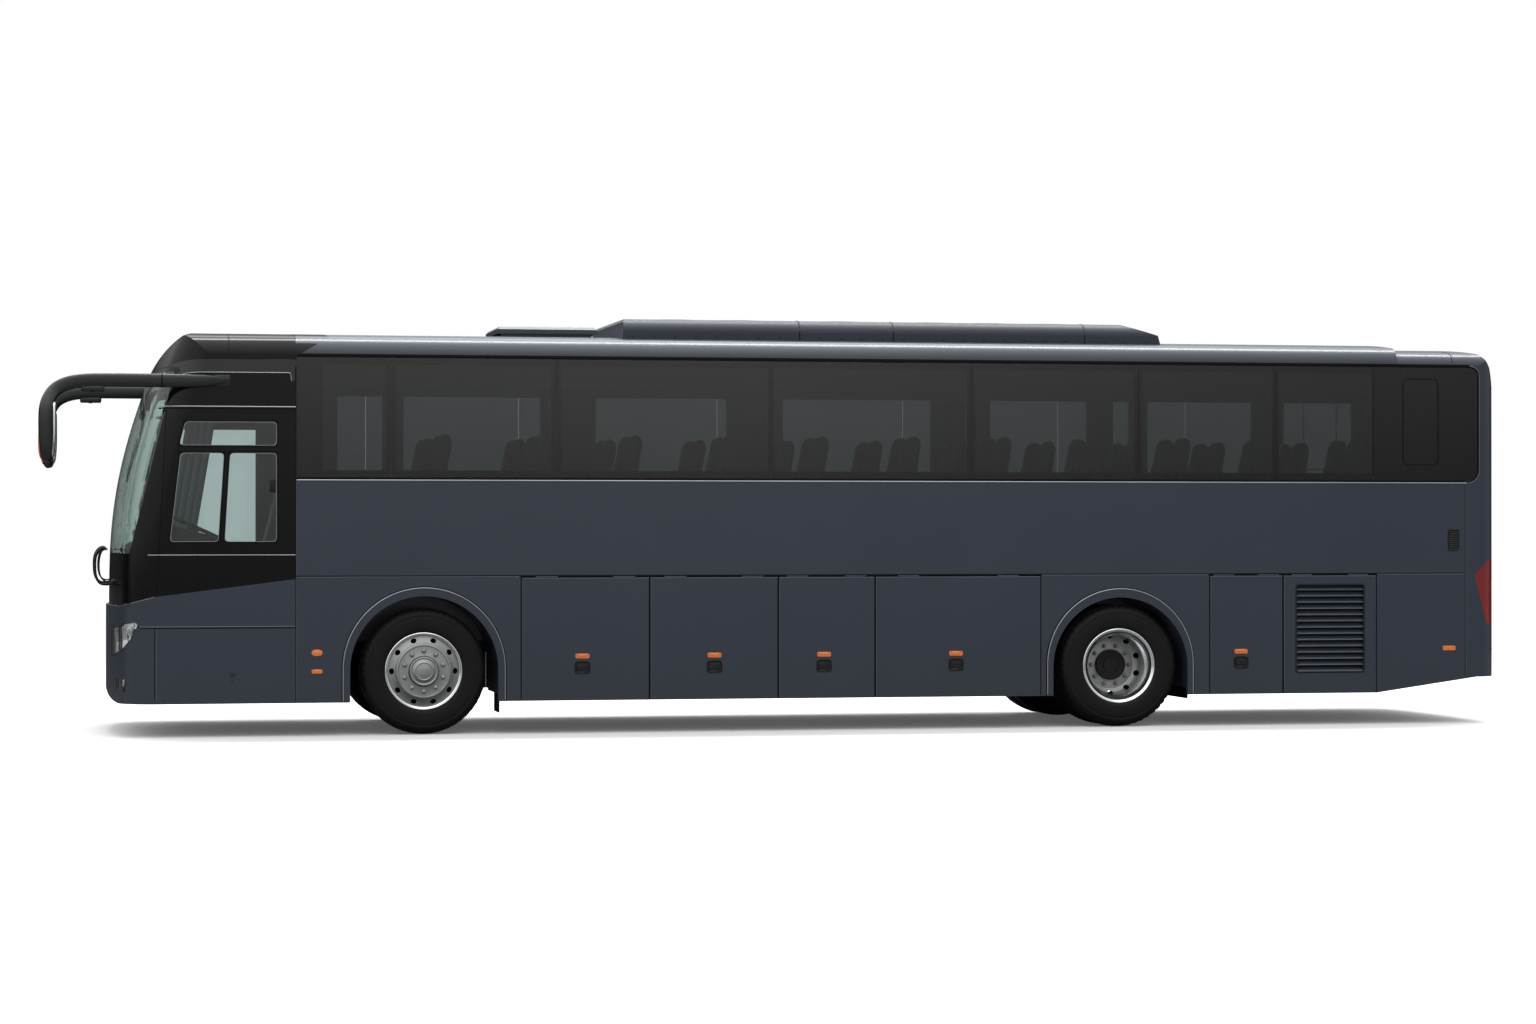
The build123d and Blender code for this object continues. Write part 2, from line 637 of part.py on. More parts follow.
knuckle = block(-70, 70, -king_pin_y - 75, -king_pin_y + 45, axle_z + 70, axle_z + 115)
knuckle += block(-70, 70, -king_pin_y - 75, -king_pin_y + 45, axle_z - 115, axle_z - 70)
knuckle += block(-70, 70, -king_pin_y - 75, -king_pin_y - 40, axle_z - 115, axle_z + 115)
knuckle += drum(0, -king_pin_y - 150, axle_z, 45, 190, "y")
knuckle -= drum(0, -king_pin_y, axle_z, 22.4, 400, "z")
nodes["knuckle_left"], nodes["knuckle_right"] = both(knuckle)


def tyre(y):
    """A tyre with crowned tread and bulged walls, revolved about its axle."""
    half = tyre_width / 2
    inner = rim_radius - 12
    points = [(inner, half - 28), (inner + 60, half - 6), (inner + 130, half),
              (tyre_radius - 70, half - 8), (tyre_radius - 14, half - 30), (tyre_radius, half - 60)]
    outline = Polyline(*([(r, w, 0) for r, w in points] + [(r, -w, 0) for r, w in points[::-1]]),
                       close=True)
    ring = revolve(make_face(outline), axis=Axis.Y)
    return Pos(0, y, axle_z) * ring


def rim_ring(y):
    """Rim barrel: a stepped ring under the tyre's beads, with a flange round each edge."""
    half = rim_width / 2
    ring = (drum(0, y, axle_z, rim_radius - 20, rim_width, "y")
            - drum(0, y, axle_z, rim_radius - 36, rim_width + 2, "y"))
    for side in (-1, 1):
        ring += (drum(0, y + side * (half + 6), axle_z, rim_radius + 10, 18, "y")
                 - drum(0, y + side * (half + 6), axle_z, rim_radius - 21, 20, "y"))
    return ring


def disc(y, outline, hole_circle, hole_radius):
    """Wheel disc: a dished plate from hub to rim, with a ring of hand holes."""
    dish = revolve(make_face(Polyline(*outline, close=True)), axis=Axis.Y)
    for n in range(hand_holes):
        dish -= Rot(0, n * 360 / hand_holes, 0) * Pos(0, 0, hole_circle) * Rot(90, 0, 0) \
            * Cylinder(hole_radius, 700)
    return Pos(0, y, axle_z) * dish


def nut_ring(y, circle, radius, height):
    """Ten wheel nuts round the hub, standing out to the left of a face."""
    nuts = [Pos(0, y - height / 2, axle_z) * Rot(0, n * 36, 0) * Pos(0, 0, circle)
            * Rot(90, 0, 0) * Cylinder(radius, height) for n in range(10)]
    return nuts[0].fuse(*nuts[1:])


hand_holes = 10
hub_radius = 124
front_dish = [(40, -150), (205, -150), (225, -146), (234, -136), (262, -112), (292, -104),
              (292, -92), (258, -98), (228, -124), (216, -132), (40, -132)]
rear_dish = [(60, 144), (208, 144), (216, 140), (243, 114), (276, 76), (276, 92), (248, 130),
             (222, 156), (60, 156)]
front_rim = rim_ring(-front_wheel_y) + disc(-front_wheel_y, front_dish, 262, 24)
front_rim += drum(0, -front_wheel_y - 85, axle_z, hub_radius - 4, 110, "y")
front_rim += drum(0, -front_wheel_y - 157, axle_z, hub_radius, 34, "y")
front_rim += drum(0, -front_wheel_y - 179, axle_z, hub_radius - 45, 12, "y")
front_rim -= drum(0, -king_pin_y - 150, axle_z, 45.5, 200, "y")
front_rim += nut_ring(-front_wheel_y - 150, 169, 19, 16)
nodes["wheel_front_left"], nodes["wheel_front_right"] = both(front_rim)
nodes["tyre_front_left"], nodes["tyre_front_right"] = both(tyre(-front_wheel_y)
                                                           - front_rim)

twin_y = (rear_outer_y + rear_inner_y) / 2
rear_rims = rim_ring(-rear_outer_y) + disc(-rear_outer_y, rear_dish, 243, 24)
inner_dish = [(r, -y) for r, y in rear_dish]
rear_rims += rim_ring(-rear_inner_y) + disc(-rear_inner_y, inner_dish, 243, 24)
rear_rims += drum(0, -twin_y, axle_z, 205, 24, "y")
rear_rims += drum(0, -twin_y - 28, axle_z, hub_radius, 84, "y")
rear_rims += nut_ring(-rear_outer_y + 144, 152, 18, 34)
rear_rims -= drum(0, -760, axle_z, 60.5, 592, "y")
rear_rims = Pos(wheelbase, 0, 0) * rear_rims
nodes["wheels_rear_left"], nodes["wheels_rear_right"] = both(rear_rims)
rear_tyres = [Pos(wheelbase, 0, 0) * tyre(-rear_outer_y) - rear_rims,
              Pos(wheelbase, 0, 0) * tyre(-rear_inner_y) - rear_rims]
nodes["tyres_rear_left"] = rear_tyres
nodes["tyres_rear_right"] = [mirror(t, about=Plane.XZ) for t in rear_tyres]

rear_beam = drum(wheelbase, 0, axle_z, 95, 2 * rear_inner_y - 400, "y")
rear_beam += drum(wheelbase, 0, axle_z, 60, 2 * rear_outer_y - 240, "y")
rear_beam += Pos(wheelbase, 0, axle_z) * Sphere(210)
for y in (-430, 430):
    rear_beam += block(wheelbase - 60, wheelbase + 60, y - 45, y + 45, axle_z, 700)
nodes["rear_axle"] = rear_beam

# ---- cabin ----------------------------------------------------------------------------------
row_pitch = 800
seat = side_prism([(0, 1620), (60, 1560), (420, 1540), (470, 1500), (560, 1500), (740, 2440),
                   (720, 2500), (650, 2505), (600, 2440), (450, 1680), (20, 1700)], -225, 225)
seat += block(150, 420, -30, 30, deck_top, 1560)
seats = []
for row in range(11):
    for y in (-950, -480, 480, 950):
        seats.append(Pos(-480 + row * row_pitch, y, 0) * seat)
driver = Pos(-1680, -700, cab_floor - deck_top) * seat
seats.append(driver)
nodes["seats"] = seats

dash = side_prism([(-2440, 1250), (-2440, 1560), (-2250, 1640), (-1980, 1700), (-1900, 1640),
                   (-1960, 1480), (-2150, 1400), (-2200, cab_floor), (-2350, cab_floor)],
                  -1140, 200)
dash &= body_form(wall + 5)
nodes["dashboard"] = dash
column_top = Pos(-1830, -700, 1720) * Rot(0, -60, 0)
steering = revolve(Plane.XZ * Pos(230, 0) * RegularPolygon(16, 8), axis=Axis.Z)
steering += Cylinder(55, 40) + Box(440, 36, 16) + Pos(0, 0, -110) * Cylinder(28, 230)
steering = column_top * steering
nodes["steering_wheel"] = steering - dash

nodes["luggage_racks"] = both(block(front_module_end + 60, side_end - 105, -wall_inner, -760,
                                    gutter - 250, gutter - 160))

# ---- outside fittings -----------------------------------------------------------------------
mirror_z = crown - 505
mirror_tip = nose - 551


def rounded_prism(corners, y0, y1):
    """A side outline with a radius at each corner, given as x, z and radius, carried across."""
    face = Plane.XZ * make_face(Polyline(*[(x, z) for x, z, _ in corners], close=True))
    for x, z, radius in corners:
        if radius:
            near = face.vertices().sort_by_distance((x, 0, z))[0]
            face = fillet(near, radius) if radius else face
    return Pos(0, y0, 0) * extrude(face, amount=y1 - y0, dir=(0, 1, 0))


arm = rounded_prism([(-1580, 0, 12), (-1590, 118, 20), (mirror_tip + 130, 130, 250),
                     (mirror_tip, -300, 120), (mirror_tip, -480, 90), (-3095, -600, 40),
                     (-2985, -606, 35), (-2925, -130, 60), (-2880, 10, 70)], 0, 74)
head = rounded_prism([(-3060, -110, 20), (mirror_tip, -360, 60), (mirror_tip, -480, 60),
                      (-3095, -600, 40), (-2985, -606, 35), (-2925, -130, 20),
                      (-2960, -70, 30)], 0, 240)
for face_y in (0, -1):
    head = chamfer(head.faces().sort_by(Axis.Y)[face_y].edges(), 18)
pod = rounded_prism([(-2771, 25, 0), (-2771, -30, 20), (-2585, -30, 20), (-2585, 25, 0)], 0, 58)
root = block(-1700, -1580, 0, 32, 10, 105)
mirror_arm = Pos(0, -half_width - 80, mirror_z) * arm
mirror_arm += Pos(0, -half_width - 190, mirror_z) * head
mirror_arm += Pos(0, -half_width - 70, mirror_z) * pod
mirror_arm += Pos(0, -half_width - 12, mirror_z) * root
nodes["mirrors"] = both(mirror_arm - shell)

wiper_parts = []
for y in (-560, 520):
    arm_path = [(-2505, 1240), (-2600, 1235), (-2655, 1330), (-2655, 1460), (-2610, 1530),
                (-2560, 1540), (-2560, 1520), (-2600, 1510), (-2632, 1450), (-2632, 1340),
                (-2590, 1262), (-2505, 1262)]
    arm_solid = side_prism(arm_path, y - 16, y + 16)
    blade = block(-2575, -2556, y - 420, y + 420, 1515, 1545)
    wiper_parts.append((arm_solid + blade) - outer)
nodes["wipers"] = wiper_parts

flaps_rubber = []
for (_, axle, radius, _, _, _), y0, y1, low in zip(arch, (-1195, -1205), (-880, -560), (175, 236)):
    x = axle + radius + liner_thick
    flaps_rubber += both(block(x, x + 10, y0, y1, low, 520))
nodes["mud_flaps"] = flaps_rubber

# ---- stand the box on its bottom centre and write the pieces --------------------------------
for name, shape in nodes.items():
    parts = shape if isinstance(shape, list) else [shape]
    nodes[name] = [solid for part in parts for solid in part.solids()]
boxes = [solid.bounding_box() for solids in nodes.values() for solid in solids]
front_x = min(box.min.X for box in boxes)
rear_x = max(box.max.X for box in boxes)
print(f"front {front_x:.1f} rear {rear_x:.1f} low {min(box.min.Z for box in boxes):.2f}",
      f"wide {max(box.max.Y for box in boxes):.1f} high {max(box.max.Z for box in boxes):.1f}")
shift = Pos(-(front_x + rear_x) / 2, 0, 0)
os.makedirs("parts", exist_ok=True)
for name, solids in nodes.items():
    moved = [shift * solid for solid in solids]
    whole = moved[0] if len(moved) == 1 else Compound(moved)
    export_step(whole, f"parts/{name}.step")
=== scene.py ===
from math import cos, pi, radians, sin

import bmesh
import bpy
import numpy as np
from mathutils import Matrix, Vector
from mathutils.bvhtree import BVHTree


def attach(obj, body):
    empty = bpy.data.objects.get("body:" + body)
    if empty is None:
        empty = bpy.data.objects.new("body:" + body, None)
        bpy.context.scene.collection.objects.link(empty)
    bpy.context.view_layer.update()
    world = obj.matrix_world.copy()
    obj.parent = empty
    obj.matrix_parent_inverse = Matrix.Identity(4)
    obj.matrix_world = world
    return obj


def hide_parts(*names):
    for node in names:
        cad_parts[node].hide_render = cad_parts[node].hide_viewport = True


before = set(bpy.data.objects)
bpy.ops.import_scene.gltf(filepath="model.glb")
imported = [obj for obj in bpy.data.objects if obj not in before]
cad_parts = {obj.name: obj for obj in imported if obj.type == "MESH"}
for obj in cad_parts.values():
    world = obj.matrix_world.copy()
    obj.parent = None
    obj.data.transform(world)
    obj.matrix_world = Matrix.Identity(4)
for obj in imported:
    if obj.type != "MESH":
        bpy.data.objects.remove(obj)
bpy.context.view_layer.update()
print("stage: frame loaded")

# lengths below are millimetres, rearwards from the front axle; y is minus on the driver's side
axleInFrame = -3.1595
wheelbase = 5953
axleHeight = 522


def toMetres(points):
    # millimetres from the front axle become metres in the frame
    metres = np.array(points, float) * 0.001
    metres[..., 0] += axleInFrame
    return metres


def gridFaces(rows, columns, closedRows=False, closedColumns=True):
    # four corners of each cell of a grid of points, numbered row by row
    row = np.arange(rows if closedRows else rows - 1)[:, None]
    column = np.arange(columns if closedColumns else columns - 1)[None, :]
    nextRow, nextColumn = (row + 1) % rows, (column + 1) % columns
    cells = [row * columns + column, row * columns + nextColumn,
             nextRow * columns + nextColumn, nextRow * columns + column]
    return np.stack([c.ravel() for c in cells], axis=1)


def sheetOf(points, closedRows=False, closedColumns=True):
    # a surface of two parameters: points is an array of rows, columns and xyz
    rows, columns = points.shape[:2]
    return points.reshape(-1, 3), gridFaces(rows, columns, closedRows, closedColumns)


def joined(parts):
    # several surfaces as one, with their faces renumbered
    starts = np.cumsum([0] + [len(p) for p, _ in parts[:-1]])
    return (np.vstack([p for p, _ in parts]),
            np.vstack([f + s for (_, f), s in zip(parts, starts)]))


def banded(rows):
    # a closed band given by its long edges in turn, with both ends drawn in to a point
    rows = np.array(rows, float)
    ends = [np.repeat(rows[:, k].mean(axis=0)[None, None], len(rows), 0) for k in (0, -1)]
    return sheetOf(np.concatenate([ends[0], rows, ends[1]], axis=1), True, False)


def mirrored(part):
    # the same surface on the other side of the bus, its faces turned to point outwards
    return part[0] * (1, -1, 1), part[1][:, ::-1]


def bothSides(part):
    # a surface and its mirror image as one
    return joined([part, mirrored(part)])


# what is drawn on the driver's side is turned over for the other
sides = (("left", lambda part: part), ("right", mirrored))


def repeated(part, places):
    # copies of a surface moved to each place
    return joined([(part[0] + np.array(place), part[1]) for place in places])


def placed(name, data):
    # an object for a mesh, a lamp or the camera, linked to the scene
    thing = bpy.data.objects.new(name, data)
    bpy.context.scene.collection.objects.link(thing)
    return thing


def piece(name, part, material, body="root", sharp=35, replaces=()):
    # a mesh object at the origin with its place in its points, which rides on a body
    points, faces = part
    mesh = bpy.data.meshes.new(name)
    mesh.vertices.add(len(points))
    mesh.vertices.foreach_set("co", toMetres(points).ravel())
    mesh.loops.add(faces.size)
    mesh.loops.foreach_set("vertex_index", faces.astype(np.int32).ravel())
    mesh.polygons.add(len(faces))
    mesh.polygons.foreach_set("loop_start", np.arange(0, faces.size, 4, dtype=np.int32))
    mesh.update(calc_edges=True)
    shape = bmesh.new()
    shape.from_mesh(mesh)
    bmesh.ops.remove_doubles(shape, verts=shape.verts, dist=2e-6)
    bmesh.ops.dissolve_degenerate(shape, edges=shape.edges, dist=1e-6)
    bmesh.ops.recalc_face_normals(shape, faces=shape.faces)
    if shape.calc_volume(signed=True) < 0:
        bmesh.ops.reverse_faces(shape, faces=shape.faces)
    shape.to_mesh(mesh)
    shape.free()
    mesh.polygons.foreach_set("use_smooth", np.ones(len(mesh.polygons), bool))
    mesh.set_sharp_from_angle(angle=radians(sharp))
    mesh.materials.append(material)
    thing = placed(name, mesh)
    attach(thing, body)
    if replaces:
        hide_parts(*replaces)
    return thing


def revolved(profile, centre, turns=96, axis=1):
    # a profile of radius and place along the axle, carried round the axle
    profile = np.array(profile, float)
    angle = np.linspace(0, 2 * pi, turns, endpoint=False)
    radius, along = profile[:, 0][:, None], profile[:, 1][:, None] + 0 * angle
    round1, round2 = radius * np.cos(angle), radius * np.sin(angle)
    order = {0: (along, round1, round2), 1: (round1, along, round2),
             2: (round1, round2, along)}[axis]
    return sheetOf(np.stack(order, axis=2) + np.array(centre, float))


def softened(points, steps):
    # a smooth line through the points: each span is a cubic with the chord's slope at its ends
    points = np.array(points, float)
    around = np.vstack([2 * points[:1] - points[1:2], points, 2 * points[-1:] - points[-2:-1]])
    t = np.linspace(0, 1, steps, endpoint=False)[None, :, None]
    p0, p1, p2, p3 = (around[i:len(around) - 3 + i][:, None] for i in range(4))
    spans = 0.5 * (2 * p1 + (p2 - p0) * t + (2 * p0 - 5 * p1 + 4 * p2 - p3) * t ** 2
                   + (3 * p1 - p0 - 3 * p2 + p3) * t ** 3)
    return np.vstack([spans.reshape(-1, points.shape[1]), points[-1:]])


def circleOf(radius, corners):
    # a circle's corners as a flat outline
    angle = np.arange(corners) * 2 * pi / corners
    return radius * np.stack([np.cos(angle), np.sin(angle)], 1)


def roundOutline(width, height, power=4.0, count=40):
    # a superellipse: a rectangle whose corners get rounder as the power falls to 2
    angle = np.linspace(0, 2 * pi, count, endpoint=False)
    c, s = np.cos(angle), np.sin(angle)
    return np.stack([width / 2 * np.sign(c) * np.abs(c) ** (2 / power),
                     height / 2 * np.sign(s) * np.abs(s) ** (2 / power)], axis=1)


def swept(path, outline, scales=None, up=(0, 1, 0)):
    # an outline carried along a path, square to it and scaled two ways, with both ends drawn
    # in to a point
    path, outline = np.array(path, float), np.array(outline, float)
    along = np.gradient(path, axis=0)
    along /= np.linalg.norm(along, axis=1)[:, None]
    side = np.cross(along, np.array(up, float))
    side /= np.linalg.norm(side, axis=1)[:, None]
    top = np.cross(side, along)
    flat = outline[None] * (np.ones((len(path), 2)) if scales is None else scales)[:, None]
    rows = path[:, None] + side[:, None] * flat[..., :1] + top[:, None] * flat[..., 1:]
    ends = np.repeat(path[[0, -1], None], len(outline), 1)
    return sheetOf(np.concatenate([ends[:1], rows, ends[1:]]))


def stacked(outline, levels, normal, centre):
    # a flat outline drawn at several levels along an axis: each level is a share of its size
    # and a height
    middle = np.array(centre, float)
    return sheetOf(np.array([np.insert(middle + (outline - middle) * share, normal, height, 1)
                             for share, height in levels]))


def roundedBlock(low, high, radius, steps=3):
    # a box with rounded edges: a small ball's directions pushed out to the box's corners
    low, high = np.array(low, float), np.array(high, float)
    middle, half = (low + high) / 2, (high - low) / 2
    quarter = np.linspace(0, pi / 2, steps + 1)
    around = np.concatenate([quarter + k * pi / 2 for k in range(4)])
    tilt = np.concatenate([quarter - pi / 2, quarter])
    signs = [np.repeat(s, steps + 1) for s in ((1, -1, -1, 1), (1, 1, -1, -1))]
    ball = np.stack([np.cos(tilt)[:, None] * np.cos(around), np.cos(tilt)[:, None] * np.sin(around),
                     np.sin(tilt)[:, None] + 0 * around], axis=2)
    reach = np.stack([np.broadcast_to(signs[0], ball.shape[:2]),
                      np.broadcast_to(signs[1], ball.shape[:2]),
                      np.repeat((-1, 1), steps + 1)[:, None] + 0 * around], axis=2)
    rows = middle + radius * ball + (half - radius) * reach
    pole = lambda row: np.repeat(row.mean(axis=0)[None, None], len(around), 1)
    return sheetOf(np.concatenate([pole(rows[0]), rows, pole(rows[-1])]))


def linear(code):
    # an sRGB hex value as the linear colour that shaders mix
    value = np.array([int(code[i:i + 2], 16) / 255 for i in (1, 3, 5)])
    value = np.where(value <= 0.04045, value / 12.92, ((value + 0.055) / 1.055) ** 2.4)
    return (*value.tolist(), 1.0)


def emptied(block):
    # the node tree of a new material or world, cleared of what it starts with
    block.use_nodes = True
    block.node_tree.nodes.clear()
    return block.node_tree


def addNode(tree, kind, sockets=None, **settings):
    # one node with its settings; a socket takes a plain value or a link
    node = tree.nodes.new(kind)
    for name, value in settings.items():
        setattr(node, name, value)
    for name, value in (sockets or {}).items():
        if isinstance(value, bpy.types.NodeSocket):
            tree.links.new(value, node.inputs[name])
        else:
            node.inputs[name].default_value = value
    return node


def finish(name, colours, grain, roughness, bump=0.0, patch=900, dirt=None, **sockets):
    # two shades mixed by a fine grain and broad patches, both in millimetres; roughness and
    # bump follow the grain, and dirt adds a dusty colour that fades out above a height
    material = bpy.data.materials.new(name)
    tree = emptied(material)
    place = addNode(tree, "ShaderNodeTexCoord").outputs["Object"]
    fine = addNode(tree, "ShaderNodeTexNoise", {"Vector": place, "Scale": 1000 / grain,
                                                "Detail": 3.0}).outputs["Fac"]
    broad = addNode(tree, "ShaderNodeTexNoise", {"Vector": place, "Scale": 1000 / patch,
                                                 "Detail": 4.0}).outputs["Fac"]
    share = addNode(tree, "ShaderNodeMath", {0: fine, 1: broad}, operation="MULTIPLY")
    share = addNode(tree, "ShaderNodeMapRange", {"Value": share.outputs[0], "From Min": 0.12,
                                                 "From Max": 0.42})
    colour = addNode(tree, "ShaderNodeMix", {0: share.outputs[0], 6: linear(colours[0]),
                                             7: linear(colours[1])}, data_type="RGBA").outputs[2]
    shine = addNode(tree, "ShaderNodeMapRange", {"Value": fine, "From Min": 0.3, "From Max": 0.7,
                                                 "To Min": roughness[0],
                                                 "To Max": roughness[1]}).outputs[0]
    if dirt:
        dust, top, most = dirt
        height = addNode(tree, "ShaderNodeSeparateXYZ", {0: place}).outputs["Z"]
        low = addNode(tree, "ShaderNodeMapRange", {"Value": height, "From Min": top,
                                                   "From Max": 0.05, "To Max": most})
        low = addNode(tree, "ShaderNodeMath", {0: low.outputs[0], 1: broad}, operation="MULTIPLY")
        colour = addNode(tree, "ShaderNodeMix", {0: low.outputs[0], 6: colour, 7: linear(dust)},
                         data_type="RGBA").outputs[2]
    sockets = {"Base Color": colour, "Roughness": shine} | sockets
    if bump:
        sockets["Normal"] = addNode(tree, "ShaderNodeBump", {
            "Height": fine, "Strength": 0.6, "Distance": bump * 0.001}).outputs[0]
    shader = addNode(tree, "ShaderNodeBsdfPrincipled", sockets)
    addNode(tree, "ShaderNodeOutputMaterial", {"Surface": shader.outputs[0]})
    return material


def glazing(name, tint, lampTint, clearAhead=None):
    # tinted sheet glass: sight goes through with the tint, and lamps reach the cabin behind it;
    # panes ahead of a place along the bus may be clearer
    material = bpy.data.materials.new(name)
    tree = emptied(material)
    place = addNode(tree, "ShaderNodeTexCoord").outputs["Object"]
    cloud = addNode(tree, "ShaderNodeTexNoise", {"Vector": place, "Scale": 0.8}).outputs["Fac"]
    colour = addNode(tree, "ShaderNodeMix", {0: cloud, 6: linear(tint[0]), 7: linear(tint[1])},
                     data_type="RGBA").outputs[2]
    if clearAhead:
        station, lighter = clearAhead
        along = addNode(tree, "ShaderNodeSeparateXYZ", {0: place}).outputs["X"]
        ahead = addNode(tree, "ShaderNodeMath", {0: along, 1: station}, operation="LESS_THAN")
        colour = addNode(tree, "ShaderNodeMix", {0: ahead.outputs[0], 6: colour,
                                                 7: linear(lighter)}, data_type="RGBA").outputs[2]
    shader = addNode(tree, "ShaderNodeBsdfPrincipled", {
        "Base Color": colour, "Roughness": 0.0, "IOR": 1.45, "Transmission Weight": 1.0})
    clear = addNode(tree, "ShaderNodeBsdfTransparent", {"Color": linear(lampTint)})
    path = addNode(tree, "ShaderNodeLightPath")
    mix = addNode(tree, "ShaderNodeMixShader", {0: path.outputs["Is Shadow Ray"],
                                                1: shader.outputs[0], 2: clear.outputs[0]})
    addNode(tree, "ShaderNodeOutputMaterial", {"Surface": mix.outputs[0]})
    return material


# two-pack coach paint over flatted primer: deep slate with a soft clear coat
slatePaint = finish("slateCoachPaint", ("#2d3441", "#313845"), 5, (0.3, 0.36), bump=0.02,
                    dirt=("#4a4843", 0.6, 0.12), **{"Specular IOR Level": 0.3,
                                                    "Coat Weight": 0.25, "Coat Roughness": 0.12})
# the same paint system in black, polished: a deep tone with a faint clear mirror
blackPaint = finish("polishedBlackPaint", ("#08090b", "#0c0d0f"), 6, (0.1, 0.14), bump=0.01,
                    **{"Specular IOR Level": 0.14, "Coat Weight": 0.05, "Coat Roughness": 0.04})
# dark grey satin paint, which sets the trims off from the black round them
trimPaint = finish("smokeGreyTrimPaint", ("#2b2c2f", "#303134"), 5, (0.2, 0.28), bump=0.02,
                   **{"Specular IOR Level": 0.3})
# chassis black baked on rough castings: dull with road dust
chassisPaint = finish("chassisBlackEnamel", ("#0b0c0d", "#161718"), 3, (0.5, 0.7), bump=0.4,
                      dirt=("#2f2c28", 1.2, 0.5), **{"Specular IOR Level": 0.2})
# sand-cast iron with an oily bloom: blotched, rough and dull
castIron = finish("castIronEngine", ("#2a2826", "#3c3936"), 4, (0.5, 0.75), bump=0.8, Metallic=0.6)
# moulded ABS with a fine spark-eroded grain that breaks up its sheen
blackPlastic = finish("grainedBlackPlastic", ("#0c0d0e", "#131416"), 1.5, (0.4, 0.55), bump=0.25,
                      **{"Specular IOR Level": 0.25})
# the same in a lighter grey, which shows through the dark glass
greyPlastic = finish("grainedGreyPlastic", ("#232629", "#2e3135"), 1.5, (0.5, 0.62), bump=0.25,
                     **{"Specular IOR Level": 0.25})
# carbon black tread rubber, dry and slightly browned near the road
tyreRubber = finish("carbonTyreRubber", ("#090a0a", "#101111"), 2.5, (0.5, 0.65), bump=0.3,
                    patch=220, dirt=("#1d1c1a", 0.45, 0.3), **{"Specular IOR Level": 0.16})
# extruded rubber of the seals, and the same black laid on as strips that paint the shade in panel
# gaps, grooves and round the arches and hub caps: the flattest black on the bus
sealRubberAndGapShade = finish("sealRubberAndPaintedGapShade", ("#060707", "#0b0c0c"), 3, (0.5, 0.65), bump=0.1,
                    **{"Specular IOR Level": 0.1})
# machined forged aluminium: turning marks spread the highlight
wheelMetal = finish("machinedWheelAluminium", ("#7e7f7f", "#909191"), 1.2, (0.48, 0.6),
                    bump=0.06, patch=180, Metallic=1.0)
# the rolled rim lips are polished, so they catch a thin bright ring
polishedLip = finish("polishedRimAluminium", ("#c2c4c6", "#d4d6d7"), 3, (0.14, 0.22), Metallic=1.0)
# chrome plate on the lamp bowls: hard, bright reflections
chromePlate = finish("brightChromePlate", ("#cfd1d3", "#e4e6e8"), 8, (0.05, 0.1), Metallic=1.0)
# woven plush: a soft pile that pales along its outline
seatPlush = finish("wovenSeatPlush", ("#1c1f26", "#2d323c"), 2.2, (0.85, 0.95), bump=0.6,
                   patch=90, **{"Sheen Weight": 0.4, "Sheen Roughness": 0.5})
# flecked safety vinyl on the floor, without shine
floorVinyl = finish("speckledFloorVinyl", ("#232527", "#3b3e41"), 2.5, (0.55, 0.7), bump=0.1)
# anodised aluminium trim: thin pale lines with a soft metal sheen
brightTrim = finish("anodisedTrim", ("#8f9399", "#a9adb3"), 2.5, (0.28, 0.4), bump=0.05,
                    Metallic=0.8)
# a paler slate paint laid on folded edges and along seams as a painted highlight, a line where the
# light would catch them
highlightPaint = finish("paintedEdgeHighlight", ("#5d626d", "#6b707b"), 5, (0.3, 0.4),
                   **{"Specular IOR Level": 0.4})
# matt gel coat on the roof unit's moulded cover: no sharp highlights
unitPaint = finish("mattUnitGelCoat", ("#2d313b", "#333842"), 6, (0.4, 0.5), bump=0.05,
                   **{"Specular IOR Level": 0.3})
# satin black moulding: a long soft highlight down the mirror arms
satinBlack = finish("satinBlackMoulding", ("#141617", "#1b1d1e"), 2, (0.32, 0.42), bump=0.05,
                    **{"Specular IOR Level": 0.35})
# second surface silvered glass in the mirrors, faintly blue
mirrorGlass = finish("silveredMirrorGlass", ("#a9aeb2", "#b6bbbf"), 40, (0.06, 0.1), Metallic=1.0)
# vacuum formed cabin trim, pale and matt
paleTrim = finish("paleCabinTrim", ("#949b9d", "#a2a9ab"), 1.5, (0.6, 0.75), bump=0.2,
                  **{"Specular IOR Level": 0.2})
# stitched leather on the steering wheel: matt with a fine grain
rimLeather = finish("stitchedRimLeather", ("#0f1011", "#17181a"), 1.2, (0.5, 0.62), bump=0.3,
                    **{"Specular IOR Level": 0.25})
# orange and red acrylic lenses with a thin clear gloss
amberLens = finish("amberLampLens", ("#f0741a", "#ff8a2a"), 6, (0.12, 0.2), bump=0.15,
                   **{"Coat Weight": 0.5})
redLens = finish("redLampLens", ("#6d0c10", "#9c1418"), 6, (0.1, 0.16), bump=0.1,
                 **{"Coat Weight": 0.6})
# glass tinted through its body hides the saloon and stays deep under the bright sky
tintedGlass = glazing("tintedPrivacyGlass", ("#626868", "#6a7070"), "#8c9092",
                      clearAhead=(axleInFrame - 1.049, "#c4d0cf"))
# laminated screen with a faint green tint that shows the cab
clearGlass = glazing("greenTintWindscreen", ("#b4c4be", "#bccbc5"), "#b8c4c0")
# clear polycarbonate covers let the bright bowls through
lampGlass = glazing("clearLampPolycarbonate", ("#eef2f2", "#f6f8f8"), "#e8ecec")

